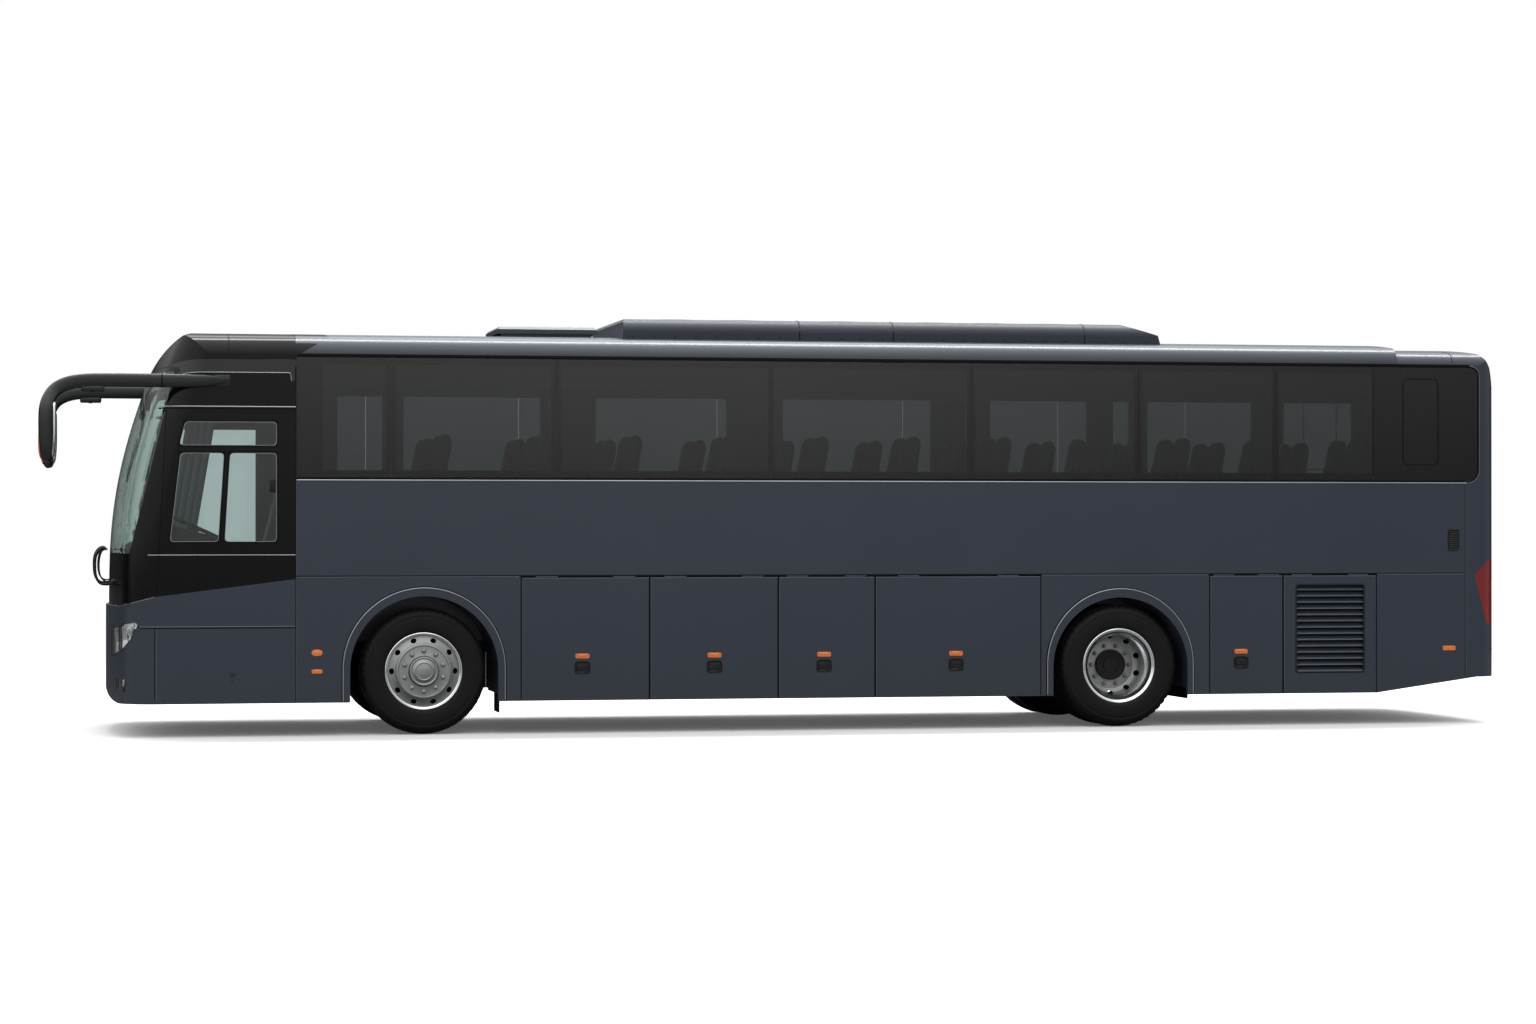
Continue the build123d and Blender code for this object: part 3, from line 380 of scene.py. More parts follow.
nodeFinish = {
    slatePaint: ("front_panel", "bumper_front", "skirts", "side_wall_left", "side_wall_right",
                 "roof_shell", "rear_panel", "engine_lid", "roof_hatch"),
    unitPaint: ("ac_unit",),
    blackPaint: ("front_mask", "front_cap", "entrance_door", "mirrors"),
    chassisPaint: ("front_axle", "rear_axle", "knuckle_left", "knuckle_right",
                   "luggage_floor"),
    castIron: ("engine_block",),
    blackPlastic: ("wipers", "steering_wheel"),
    greyPlastic: ("dashboard", "luggage_racks"),
    tyreRubber: ("tyre_front_left", "tyre_front_right", "tyres_rear_left", "tyres_rear_right"),
    sealRubberAndGapShade: ("mud_flaps",),
    wheelMetal: ("wheel_front_left", "wheel_front_right", "wheels_rear_left",
                 "wheels_rear_right"),
    seatPlush: ("seats",),
    floorVinyl: ("floor_deck",),
    redLens: ("tail_lamps",),
    tintedGlass: ("body_glass",),
    clearGlass: ("windshield",),
    lampGlass: ("front_lamps",),
}
for material, names in nodeFinish.items():
    for name in names:
        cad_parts[name].data.materials[0] = material
for name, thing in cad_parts.items():
    if "_door_" in name:
        thing.data.materials[0] = slatePaint
    if name.startswith(("chassis_", "bay_frame")):
        thing.data.materials[0] = chassisPaint
print("stage: materials on the frame")

# the wall is half a tyre's section: radius and place across, from the bead to the shoulder
tyreSize = {"radius": 522, "grooveDepth": 13, "grooves": (-74, -26, 26, 74), "grooveHalf": 5,
            "lugs": 52, "slotDepth": 8, "ripple": 1.2, "front": 1046, "rear": (1072, 738),
            "wall": [(292, 108), (306, 116), (317, 125), (326, 133), (340, 138), (356, 141),
                     (392, 143), (430, 142), (452, 139), (456, 140.5), (466, 139), (486, 132),
                     (500, 124), (511, 113), (517, 103)]}


def tyreSurface(centre):
    # a closed cross section carried round the axle; the radius drops in four round grooves and
    # in short slots across both shoulders
    wall = softened(tyreSize["wall"], 3)
    tread = []
    for middle in tyreSize["grooves"]:
        half = tyreSize["grooveHalf"]
        tread += [(middle - half - 2, 0), (middle - half, 1), (middle + half, 1),
                  (middle + half + 2, 0)]
    tread = np.array(sorted(tread + [(-96, 0), (-88, 0), (0, 0), (88, 0), (96, 0)]))
    crown = tyreSize["radius"] - 5 * (tread[:, 0] / 100) ** 2
    crown = crown - tread[:, 1] * tyreSize["grooveDepth"]
    half = np.vstack([wall, np.stack([crown, tread[:, 0]], 1)[::-1], (wall * (1, -1))[::-1]])
    turns = tyreSize["lugs"] * 4
    angle = np.linspace(0, 2 * pi, turns, endpoint=False)
    radius = np.repeat(half[:, :1], turns, 1)
    shoulder = (np.abs(half[:, 1]) > 80) & (half[:, 0] > 488)
    slot = np.arange(turns) % 4 == 0
    radius[np.ix_(shoulder, slot)] -= tyreSize["slotDepth"]
    ripple = (np.abs(half[:, 1]) > 120) & (half[:, 0] > 455) & (half[:, 0] < 500)
    radius[np.ix_(ripple, np.arange(turns) % 2 == 0)] += tyreSize["ripple"]
    across = np.repeat(half[:, 1:], turns, 1)
    ring = np.stack([radius * np.cos(angle), across, radius * np.sin(angle)], axis=2)
    return sheetOf(ring + np.array(centre, float), closedRows=True)


for side, sign in (("left", -1), ("right", 1)):
    single = tyreSurface((0, sign * tyreSize["front"], axleHeight))
    piece("tyreFront" + side.title(), single, tyreRubber, "wheel_front_%s_body" % side, 50,
          ("tyre_front_" + side,))
    pair = joined([tyreSurface((wheelbase, sign * y, axleHeight)) for y in tyreSize["rear"]])
    piece("tyresRear" + side.title(), pair, tyreRubber, "wheels_rear_%s_body" % side, 50,
          ("tyres_rear_" + side,))
print("stage: tyres")

wheelSize = {"holes": 10, "holeHalf": (25, 20), "holeRadius": 262, "rearHoleRadius": 243,
             "plate": 11, "nuts": 10, "nutCircle": 167, "nutRadius": 17, "hubCap": 119,
             "frontLips": (-1177, -923), "rearLips": ((-1203, -949), (-607, -861))}


def turned(part, count, first=0.0):
    # copies of a surface turned in equal steps about the axle, which lies along y
    points, faces = part
    copies = []
    for step in range(count):
        angle = first + 2 * pi * step / count
        c, s = cos(angle), sin(angle)
        x, z = points[:, 0] * c + points[:, 2] * s, points[:, 2] * c - points[:, 0] * s
        copies.append((np.stack([x, points[:, 1], z], axis=1), faces))
    return joined(copies)


def handHoleRing(inner, outer, middle, dish):
    # each sector runs from a square in angle and radius to an oval hole; the sheet's two
    # sides follow the dish and meet at the ring's inner and outer edges
    edge = np.linspace(-1, 1, 9)[:-1]
    one = 1 + 0 * edge
    square = np.concatenate([np.stack(pair, 1) for pair in
                             ((edge, -one), (one, edge), (-edge, one), (-one, -edge))])
    phase = np.arctan2(square[:, 1], square[:, 0])
    along, across = wheelSize["holeHalf"]
    sector = pi / wheelSize["holes"]
    start = np.stack([square[:, 0] * sector,
                      np.where(square[:, 1] < 0, middle + square[:, 1] * (middle - inner),
                               middle + square[:, 1] * (outer - middle))], 1)
    hole = np.stack([along * np.cos(phase) / middle, middle + across * np.sin(phase)], 1)
    share = np.array([0, 0.15, 0.5, 0.85, 1])[:, None, None]
    flat = start + (hole - start) * share
    angle, radius = flat[..., 0], flat[..., 1]
    thick = wheelSize["plate"] * np.clip(np.minimum(radius - inner, outer - radius) / 4, 0, 1)
    face = np.interp(radius, dish[:, 0], dish[:, 1])
    rows = [np.stack([radius * np.sin(angle), face + side * thick, radius * np.cos(angle)], 2)
            for side in (0, 1)]
    return sheetOf(np.concatenate([rows[0], rows[1][::-1]]))


def wheelNut(radius, face, height):
    # a washer, a hexagon and a domed top, drawn as shrinking outlines
    washer = stacked(circleOf(radius * 1.25, 18), [(0, 0), (1, 0), (1, 3), (0.95, 4), (0, 4)], 1,
                     (0, 0))
    nut = stacked(circleOf(radius, 6), [(0, 2), (1, 2), (1, height * 0.62), (0.88, height * 0.72),
                                        (0.62, height * 0.92), (0.3, height), (0, height)], 1,
                  (0, 0))
    points, faces = joined([washer, nut])
    return points * (1, -1, 1) + (0, face, wheelSize["nutCircle"]), faces


def rimBarrel(outerLip, innerLip):
    # the rim's closed section round the axle: two rolled lips, bead seats and a well
    way = 1 if innerLip > outerLip else -1
    shape = [(318, 1), (319, 5), (317, 9), (310, 12), (303, 16), (299, 30), (292, 56), (276, 76),
             (262, 90), (262, 162), (278, 180), (293, 198), (299, 222), (304, 238), (312, 243),
             (318, 246), (317, 252), (308, 254), (297, 246), (288, 208), (270, 184), (254, 166),
             (254, 86), (268, 68), (284, 50), (290, 28), (294, 12), (299, 7), (306, 5), (309, 1),
             (313, -1)]
    turns = 120
    points, _ = revolved([(r, outerLip + way * a) for r, a in shape], (0, 0, 0), turns)
    return sheetOf(points.reshape(len(shape), turns, 3), closedRows=True)


def frontWheel():
    # a convex disc that stands proud of the lip, with ten oval holes, ten nuts and a plain cap
    dish = np.array([(226, -1180), (238, -1172), (262, -1159), (284, -1152), (292, -1150)])
    ring = handHoleRing(226, 291, wheelSize["holeRadius"], dish)
    flange = revolved([(0, -1178), (228, -1178), (231, -1184), (229, -1191), (222, -1197),
                       (214, -1199), (210, -1198), (206, -1194), (132, -1194), (128, -1196),
                       (0, -1196)], (0, 0, 0), 120)
    return joined([turned(ring, wheelSize["holes"], pi / 10), flange,
                   turned(wheelNut(wheelSize["nutRadius"], -1194, 20), wheelSize["nuts"])])


def hubCap():
    # a shallow turned cap: a rolled rim, a groove and two low steps
    cap = wheelSize["hubCap"]
    return revolved([(0, -1190), (cap, -1190), (cap + 3, -1204), (cap, -1213), (cap - 8, -1216),
                     (cap - 14, -1213), (cap - 18, -1211), (cap - 34, -1215), (cap - 40, -1221),
                     (cap - 48, -1223), (cap - 54, -1220), (cap - 60, -1221), (36, -1225),
                     (18, -1227), (0, -1227)], (0, 0, 0), 96)


def rearWheel():
    # twin rims bolted back to back: the outer disc lies deep inside its rim
    dish = np.array([(206, -927), (222, -931), (243, -946), (266, -975), (276, -990)])
    ring = handHoleRing(206, 275, wheelSize["rearHoleRadius"], dish)
    flange = revolved([(60, -905), (208, -905), (210, -922), (206, -927), (198, -928),
                       (60, -928), (60, -905)], (0, 0, 0), 120)
    inner = np.array([(206, -905), (222, -897), (243, -880), (266, -850), (276, -838)])
    innerRing = handHoleRing(206, 275, wheelSize["rearHoleRadius"], inner)
    holes, nuts = wheelSize["holes"], wheelSize["nuts"]
    return joined([turned(ring, holes), flange, turned(innerRing, holes),
                   turned(wheelNut(16, -928, 34), nuts, pi / 10)])


def rearHub():
    # the drive hub's cast drum with a turned rim and eight flange bolts
    drum = revolved([(0, -760), (128, -760), (131, -905), (131, -962), (127, -967), (112, -969),
                     (106, -964), (72, -964), (64, -972), (0, -973)], (0, 0, 0), 72)
    bolt = stacked(circleOf(7, 6), [(0, 0), (1, 0), (1, 6), (0, 7)], 1, (0, 0))
    bolts = turned((bolt[0] * (1, -1, 1) + (0, -964, 90), bolt[1]), 8)
    return joined([drum, bolts])


def onAxle(part, x):
    # from the origin to an axle's place and height
    return part[0] + (x, 0, axleHeight), part[1]


for side, turn in sides:
    body = "wheel_front_%s_body" % side
    piece("wheelFront" + side.title(), turn(onAxle(frontWheel(), 0)), wheelMetal, body,
          30, ("wheel_front_" + side,))
    rims = rimBarrel(*wheelSize["frontLips"])
    piece("rimFront" + side.title(), turn(onAxle(rims, 0)), polishedLip, body, 30,
          ("wheel_front_" + side,))
    piece("hubCap" + side.title(), turn(onAxle(hubCap(), 0)), wheelMetal, body)
    # a black ring round the hub cap's edge paints the shade that outlines it
    shadowRing = revolved([(wheelSize["hubCap"] + 5 + 3.5 * cos(a), -1195 + 3 * sin(a))
                           for a in np.arange(9) * pi / 4], (0, 0, axleHeight), 72)
    piece("hubCapShadowRing" + side.title(), turn(shadowRing), sealRubberAndGapShade, body)
    body = "wheels_rear_%s_body" % side
    piece("wheelsRear" + side.title(), turn(onAxle(rearWheel(), wheelbase)), wheelMetal, body,
          30, ("wheels_rear_" + side,))
    rims = joined([rimBarrel(*lips) for lips in wheelSize["rearLips"]])
    piece("rimsRear" + side.title(), turn(onAxle(rims, wheelbase)), polishedLip, body,
          30, ("wheels_rear_" + side,))
    piece("driveHub" + side.title(), turn(onAxle(rearHub(), wheelbase)), chassisPaint, body)
print("stage: wheels")

# mouldings along the side: name, first and last place along the bus, low, high and how proud; the
# skirt strip is black laid on the wall as painted shade for the gap above the flaps
sideLine = {"left": -1250, "mouldings": (("gutterSeal", -1046, 9122, 3098, 3128, 4),
                                         ("beltSeal", -1046, 9100, 2099, 2119, 4),
                                         ("beltLedge", -1046, 9100, 2088, 2099, 6),
                                         ("skirtGapShade", -1046, 9086, 1303, 1312, 2))}


def plateAt(x, z, width, height, levels, power=5.0, count=40):
    # a rounded plate on the left side: each level is a share of its outline and how proud it is
    outline = roundOutline(width, height, power, count) + (x, z)
    return stacked(outline, [(share, sideLine["left"] - proud) for share, proud in levels], 1,
                   (x, z))


def bead(points, radius):
    # a round bead that follows a closed outline on the left side
    points = np.array(points, float)
    nearby = np.roll(points, -1, 0) - np.roll(points, 1, 0)
    normal = np.stack([nearby[:, 1], -nearby[:, 0]], 1) / np.linalg.norm(nearby, axis=1)[:, None]
    angle = np.linspace(0, 2 * pi, 8, endpoint=False)
    flat = points[None] + normal[None] * (radius * np.cos(angle))[:, None, None]
    depth = sideLine["left"] - radius * 0.6 * np.sin(angle)[:, None] + 0 * flat[..., 0]
    return sheetOf(np.stack([flat[..., 0], depth, flat[..., 1]], 2), closedRows=True)


for name, start, end, low, high, proud in sideLine["mouldings"]:
    part = roundedBlock((start, sideLine["left"] - proud, low),
                        (end, sideLine["left"] + 3, high), min(proud, 5) * 0.9)
    piece(name, bothSides(part), brightTrim if "Ledge" in name else sealRubberAndGapShade)

# each flap has a black strip down its front edge, painted shade for the gap between flaps, and a
# paler rim along that edge and its top, a painted highlight where light catches the fold
# name, front edge, rear edge and the latch's place, where there is one
flaps = (("luggage_door_{}_1", 797, 1873, 1310), ("luggage_door_{}_2", 1873, 2965, 2423),
         ("luggage_door_{}_3", 2965, 3799, 3359), ("luggage_door_{}_4", 3799, 5249, 4503),
         ("service_door_{}", 6749, 7413, 7034), ("engine_door_{}", 7413, 8268, None))
flapRim = {"top": 1289, "foot": 276, "rubber": 7, "rim": 4, "proud": 1.6, "gap": 3, "fold": 6}


def stripAt(x0, x1, z0, z1, proud):
    # a flat strip on the left side with rounded edges
    return roundedBlock((x0, sideLine["left"] - proud, z0), (x1, sideLine["left"] + 3, z1),
                        min(1.2, (x1 - x0) / 3, (z1 - z0) / 3), 1)


def tagOf(name):
    # a body's name as one word for its pieces
    return "".join(word.title() for word in name.split("_"))


for flapName, start, end, _ in flaps:
    foot, top, proud = flapRim["foot"], flapRim["top"], flapRim["proud"]
    first = start + flapRim["gap"] + flapRim["rubber"]
    last = end - flapRim["fold"]
    rubber = joined([stripAt(start + flapRim["gap"], first, foot, top, proud),
                     stripAt(last, end - flapRim["gap"], foot, top, proud)])
    rim = joined([stripAt(first, first + flapRim["rim"], foot, top, proud),
                  stripAt(first, last, top - flapRim["fold"], top, proud)])
    for side, turn in sides:
        flap = flapName.format(side)
        # the edge strip is painted gap shade and the rim is a painted highlight
        piece("edge" + tagOf(flap), turn(rubber), sealRubberAndGapShade, flap + "_body")
        piece("rim" + tagOf(flap), turn(rim), highlightPaint, flap + "_body")

# fixed seams of the body: a black strip painting the shade in the groove, with a paler strip beside
# it painting the highlight on the folded edge
bodyLines = {"proud": 2, "seams": ((-1053, -1046, 290, 3095), (9083, 9089, 404, 2094)),
             "folds": ((-1046, -1042, 290, 2094), (9089, 9093, 405, 2094),
                       (-1042, 780, 1297, 1303), (5260, 6735, 1297, 1303),
                       (8272, 9083, 1297, 1303))}
for name, lines, material in (("bodySeamShade", "seams", sealRubberAndGapShade),
                              ("bodyFoldHighlights", "folds", highlightPaint)):
    strips = [stripAt(*line, bodyLines["proud"]) for line in bodyLines[lines]]
    piece(name, bothSides(joined(strips)), material)

# a bright bead follows the outer edge of each arch lip, and a black strip just outside it paints
# the shade in the gap round the lip
archLip = {"front": (0, 669, 543), "rear": (wheelbase, 651, 534), "radius": 4, "foot": 285}


def archBead(place, radius, grow, proud):
    # up one side, over a half circle and down the other, as an open sweep
    axle, reach, height = place
    reach += grow
    angle = np.linspace(pi, 0, 49)
    y = sideLine["left"] - proud
    over = np.stack([axle + reach * np.cos(angle), y + 0 * angle,
                     height + reach * np.sin(angle)], 1)
    side = np.linspace(archLip["foot"], height, 4)[:-1]
    up = np.stack([axle - reach + 0 * side, y + 0 * side, side], 1)
    down = (up * (1, 1, 1) + (2 * reach, 0, 0))[::-1]
    return swept(np.vstack([up, over, down]), circleOf(radius, 8))


for end in ("front", "rear"):
    lip = archBead(archLip[end], archLip["radius"], -3, 7)
    piece(end + "ArchBead", bothSides(lip), brightTrim)
    gap = archBead(archLip[end], archLip["radius"], 5, 0)
    piece(end + "ArchGapShade", bothSides(gap), sealRubberAndGapShade)
print("stage: mouldings")

# flush paddle latches and the amber reflectors above them, one pair to a flap
latchSize = {"width": 132, "height": 108, "low": 490, "reflector": (112, 40), "reflectorUp": 640}
# lamps low on the side: place along the bus, height, width, height of the lens and squareness
markers = ((-878, 682, 84, 50, 2.4), (-878, 529, 84, 34, 5.0), (8935, 655, 112, 40, 5.0))
# a lock and a button ahead of the front wheel
lockPlates = ((-1561, 512, 46, 40, [(0, 0), (1, 0), (1, 3), (0.9, 4), (0, 4)], 3),
              (-1561, 452, 26, 26, [(0, 0), (1, 0), (1, 2), (0.8, 3), (0, 3)], 2, 16))


def latch(x):
    # a bezel round a sunk tray with a paddle hinged at its top and a lock barrel under it
    z = latchSize["low"] + latchSize["height"] / 2
    bezel = plateAt(x, z, latchSize["width"], latchSize["height"],
                    [(0, 0), (1, 0), (1, 4), (0.96, 6), (0.9, 6), (0.86, 2), (0.8, 0.6), (0, 0.6)])
    paddle = roundedBlock((x - 48, -1256, z - 22), (x + 48, -1250.5, z + 34), 2.5)
    ridge = roundedBlock((x - 40, -1259, z - 20), (x + 40, -1254, z - 10), 2)
    barrel = revolved([(0, -1250), (9, -1250), (9, -1254), (7, -1256), (2, -1256), (2, -1255),
                       (0, -1255)], (x + 30, 0, z - 36), 16)
    return joined([bezel, paddle, ridge, barrel])


def reflector(x, z, width, height, power=5.0):
    # a moulded lens with a raised rim
    return plateAt(x, z, width, height, [(0, 0), (1.06, 0), (1.06, 3), (1, 5), (0.94, 5),
                                         (0.9, 4), (0.6, 6), (0, 6.5)], power)


for side, turn in sides:
    for flapName, _, _, x in flaps:
        flap = flapName.format(side)
        if x is None:
            continue
        piece("latch" + tagOf(flap), turn(latch(x)), blackPlastic, flap + "_body")
        lens = reflector(x, latchSize["reflectorUp"], *latchSize["reflector"])
        piece("reflector" + tagOf(flap), turn(lens), amberLens, flap + "_body")
    lamps = joined([reflector(*marker) for marker in markers])
    piece("sideMarkers" + side.title(), turn(lamps), amberLens)
    lock = joined([plateAt(*plate) for plate in lockPlates])
    piece("fillerLock" + side.title(), turn(lock), greyPlastic)
print("stage: latches and reflectors")

# black slatted air vent near the tail
ventSize = {"x": (8926, 9028), "z": (1500, 1692), "slats": 9, "edge": 8, "rim": 12}


def vent():
    # a raised frame round a well, crossed by leaning slats
    x0, x1 = ventSize["x"]
    z0, z1 = ventSize["z"]
    middle, tall = ((x0 + x1) / 2, (z0 + z1) / 2), z1 - z0
    frameRing = plateAt(*middle, x1 - x0, tall, [(0, 0.5), (0.86, 0.5), (0.88, 6), (0.94, 8),
                                                 (1, 6), (1, 0), (0, 0)], 9)
    pitch = (tall - 2 * ventSize["rim"]) / ventSize["slats"]
    slats = []
    for row in range(ventSize["slats"]):
        z = z0 + ventSize["rim"] + 2 + row * pitch
        section = ((-1251, z + 11), (-1258, z + 1), (-1257, z), (-1250, z + 9))
        ends = (x0 + ventSize["edge"], x1 - ventSize["edge"])
        slats.append(banded([[(x, y, height) for x in ends] for y, height in section]))
    return joined([frameRing] + slats)


piece("tailVents", bothSides(vent()), blackPlastic)

# the emergency exit in the last side pane: a thin black outline
exitSize = {"x": (8512, 8834), "z": (2250, 2997), "corner": 46, "bead": 5}


def roundedFrame(x, z, corner, steps=6):
    # the corners of a rectangle replaced by quarter circles
    quarter = np.linspace(0, pi / 2, steps)
    spots = ((x[1] - corner, z[1] - corner), (x[0] + corner, z[1] - corner),
             (x[0] + corner, z[0] + corner), (x[1] - corner, z[0] + corner))
    return np.concatenate([np.stack([cx + corner * np.cos(quarter + k * pi / 2),
                                     cz + corner * np.sin(quarter + k * pi / 2)], 1)
                           for k, (cx, cz) in enumerate(spots)])


exitFrame = roundedFrame(exitSize["x"], exitSize["z"], exitSize["corner"])
piece("paneExit", bothSides(bead(exitFrame, exitSize["bead"])), sealRubberAndGapShade)
print("stage: vents and pane exit")

# engine door louvres: a dark screen behind the slats and a frame round them
louvreSize = {"x": (7534, 8152), "z": (456, 1212), "corner": 20, "frame": 9, "inside": 4,
              "screen": (-1222, -1219)}
frameRing = bead(roundedFrame(louvreSize["x"], louvreSize["z"], louvreSize["corner"]),
                 louvreSize["frame"])
corners = np.transpose([louvreSize["x"], louvreSize["screen"], louvreSize["z"]])
shrink = np.array([louvreSize["inside"], 0, louvreSize["inside"]])
screen = roundedBlock(corners[0] + shrink, corners[1] - shrink, 1)
for side, turn in sides:
    body = "engine_door_%s_body" % side
    piece("louvreFrame" + side.title(), turn(frameRing), blackPlastic, body)
    piece("louvreScreen" + side.title(), turn(screen), sealRubberAndGapShade, body)
print("stage: louvres")

# roof air conditioner: panel seams, screws along its sides and a flange under them; the
# section is half the cover's outline, from the foot up to the middle
unitSize = {"seams": (3224, 4042, 5738), "screws": 26, "screwsFrom": 1790, "screwsTo": 6280,
            "screwHeight": 3318, "flange": ((1700, -908, 3268), (6440, -896, 3282)),
            "section": [(-902, 3245), (-902, 3356), (-886, 3407), (-858, 3446), (-800, 3467),
                        (-400, 3478), (0, 3482)]}


def seamOver(x):
    # a shallow rubber strip over the cover's crowned section
    half = np.array(unitSize["section"], float)
    whole = np.vstack([half, (half * (-1, 1))[-2::-1]])
    path = np.stack([x + 0 * whole[:, 0], whole[:, 0], whole[:, 1]], 1)
    ring = np.array([(4, 0), (3, 2.5), (-3, 2.5), (-4, 0), (-3, -2.5), (3, -2.5)], float)
    return swept(path, ring[:, ::-1], up=(1, 0, 0))


piece("unitSeams", joined([seamOver(x) for x in unitSize["seams"]]), sealRubberAndGapShade)
screw = revolved([(0, -900), (9, -900), (9, -903), (6, -905), (0, -905)], (0, 0, 0), 12)
places = [(x, 0, unitSize["screwHeight"]) for x in
          np.linspace(unitSize["screwsFrom"], unitSize["screwsTo"], unitSize["screws"])]
piece("unitScrews", bothSides(repeated(screw, places)), greyPlastic)
piece("unitFlange", bothSides(roundedBlock(*unitSize["flange"], 4)), unitPaint)
print("stage: roof unit")

# the body's front in plan: a bow between two corner arcs, set back further up the windshield
noseShape = {"tip": -2560, "step": 25, "bow": 5600, "corner": 300, "half": 1250,
             "heights": (1062, 1508, 2088, 2610, 3049, 3420),
             "setBack": (0, 8, 73, 205, 362, 520)}


def skinHalf(x, z):
    # half the body's width at a place along the bus and a height
    shape = noseShape
    tip = (shape["tip"] + np.interp(z, shape["heights"], shape["setBack"])
           + shape["step"] * (np.array(z) > shape["heights"][0]))
    bowX, cornerY = tip + shape["bow"], shape["half"] - shape["corner"]
    reach = shape["bow"] - shape["corner"]
    cornerX = bowX - np.sqrt(reach ** 2 - cornerY ** 2)
    meetX = bowX - shape["bow"] * np.sqrt(1 - (cornerY / reach) ** 2)
    onCorner = cornerY + np.sqrt(np.clip(shape["corner"] ** 2
                                         - (np.minimum(x, cornerX) - cornerX) ** 2, 0, None))
    onBow = np.sqrt(np.clip(shape["bow"] ** 2 - (bowX - x) ** 2, 0, None))
    return np.where(x >= meetX, onCorner, onBow)


def onSkin(flat, proud):
    # places on the left side of the body, given along the bus and as heights
    flat = np.array(flat, float)
    return np.stack([flat[:, 0], -skinHalf(flat[:, 0], flat[:, 1]) - proud, flat[:, 1]], 1)


def roundedCorners(points, radius):
    # each corner of a closed outline becomes a short curve that leaves both edges smoothly
    points = np.array(points, float)
    line = []
    for before, corner, after in zip(np.roll(points, 1, 0), points, np.roll(points, -1, 0)):
        first = corner + (before - corner) / np.linalg.norm(before - corner) * radius
        last = corner + (after - corner) / np.linalg.norm(after - corner) * radius
        t = np.linspace(0, 1, 5)[:, None]
        line.append((1 - t) ** 2 * first + 2 * t * (1 - t) * corner + t ** 2 * last)
    return np.vstack(line)


def ringOn(outer, inner, proud, thick):
    # a flat ring on the body's skin between two outlines with the same number of points
    rows = [onSkin(outer, proud - thick), onSkin(outer, proud), onSkin(inner, proud),
            onSkin(inner, proud - thick)]
    return sheetOf(np.array(rows), closedRows=True)


def lineOn(points, radius, proud):
    # a slim moulding that follows the body's skin
    path = onSkin(points, proud)
    up = (0, 0, 1) if np.ptp(path[:, 0]) > np.ptp(path[:, 2]) else (1, 0, 0)
    return swept(path, circleOf(radius, 8), up=up)


# driver's window: rubber round each pane, a pull handle and the mouldings above and below
cabWindow = {"panes": [[(-1990, 2374), (-1206, 2374), (-1206, 2566), (-1942, 2566)],
                       [(-2064, 1590), (-1676, 1590), (-1630, 2312), (-1980, 2312)],
                       [(-1626, 1590), (-1206, 1590), (-1206, 2312), (-1582, 2312)]],
             "corner": 34, "rubber": 14,
             "handle": (((-1262, -1262, 1990), (-1212, -1249, 2098), 5),
                        ((-1254, -1272, 2006), (-1240, -1256, 2082), 4))}
rubbers, beads = [], []
for corners in cabWindow["panes"]:
    pane = np.array(corners, float)
    inside = roundedCorners(pane, cabWindow["corner"])
    sharpEdge = roundedCorners(pane, 1)
    middle = pane.mean(axis=0)
    outside = sharpEdge + np.sign(sharpEdge - middle) * cabWindow["rubber"]
    inside = inside - np.sign(inside - middle) * 3
    rubbers.append(ringOn(outside, inside, 2.5, 6))
    beads.append(ringOn(inside + np.sign(inside - middle) * 3, inside, 4, 3))
piece("cabWindowRubber", joined(rubbers), sealRubberAndGapShade)
piece("cabWindowBeads", joined(beads), brightTrim)
handle = [roundedBlock(*block) for block in cabWindow["handle"]]
piece("cabWindowHandle", joined(handle), blackPlastic)
# lines on the cab's side: start, end, number of points, radius and how proud
cabLines = {
    "cabLedges": (brightTrim, [((-2150, 2690), (-1053, 2690), 24, 5, 1),
                               ((-2240, 1482), (-1053, 1482), 24, 3.5, 1)]),
    # black lines that paint the shade in the cab's seams and grooves
    "cabGrooveShade": (sealRubberAndGapShade, [((-2150, 2674), (-1053, 2674), 24, 6, -1),
                                ((-2170, 1160), (-2090, 2660), 24, 4, 0),
                                ((-2300, 889), (-1056, 889), 24, 5, -1),
                                ((-2182, 300), (-2182, 884), 12, 5, -1)]),
    # paler lines that paint the highlight on the folded edges beside the grooves
    "cabFoldHighlights": (highlightPaint, [((-2300, 899), (-1056, 899), 24, 4, 0),
                             ((-2174, 300), (-2174, 884), 12, 3.5, 0)]),
}
# the crest of the lower front, where a painted highlight line runs up to the cab's side
waistHighlight = [(-2490, 1064), (-2420, 1078), (-2350, 1096), (-2270, 1118), (-2190, 1139)]
for name, (material, lines) in cabLines.items():
    parts = [lineOn(np.linspace(start, end, count), radius, proud)
             for start, end, count, radius, proud in lines]
    if name == "cabFoldHighlights":
        parts.append(lineOn(waistHighlight, 5, 1))
    piece(name, bothSides(joined(parts)), material)
print("stage: driver's window")

# a painted arch above the driver's door that ends in a round corner
archTrim = {"outer": [(-2268, 2660), (-2240, 2800), (-2160, 2930), (-2040, 3030), (-1900, 3068),
                      (-1700, 3074), (-1400, 3074), (-1060, 3074), (-1060, 3000), (-1060, 2900)],
            "inner": [(-2215, 2660), (-2190, 2760), (-2110, 2860), (-2010, 2930), (-1900, 2962),
                      (-1700, 2968), (-1400, 2968), (-1130, 2968), (-1096, 2958),
                      (-1086, 2900)]}
outerLine, innerLine = (softened(archTrim[edge], 5) for edge in ("outer", "inner"))
rows = [onSkin(outerLine, 0.5), onSkin(outerLine, 5), onSkin(innerLine, 5), onSkin(innerLine, 0.5)]
piece("cabArch", bothSides(banded(rows)), trimPaint)
piece("cabArchBead", bothSides(lineOn(innerLine, 3.5, 5)), brightTrim)
print("stage: arch over the driver's window")

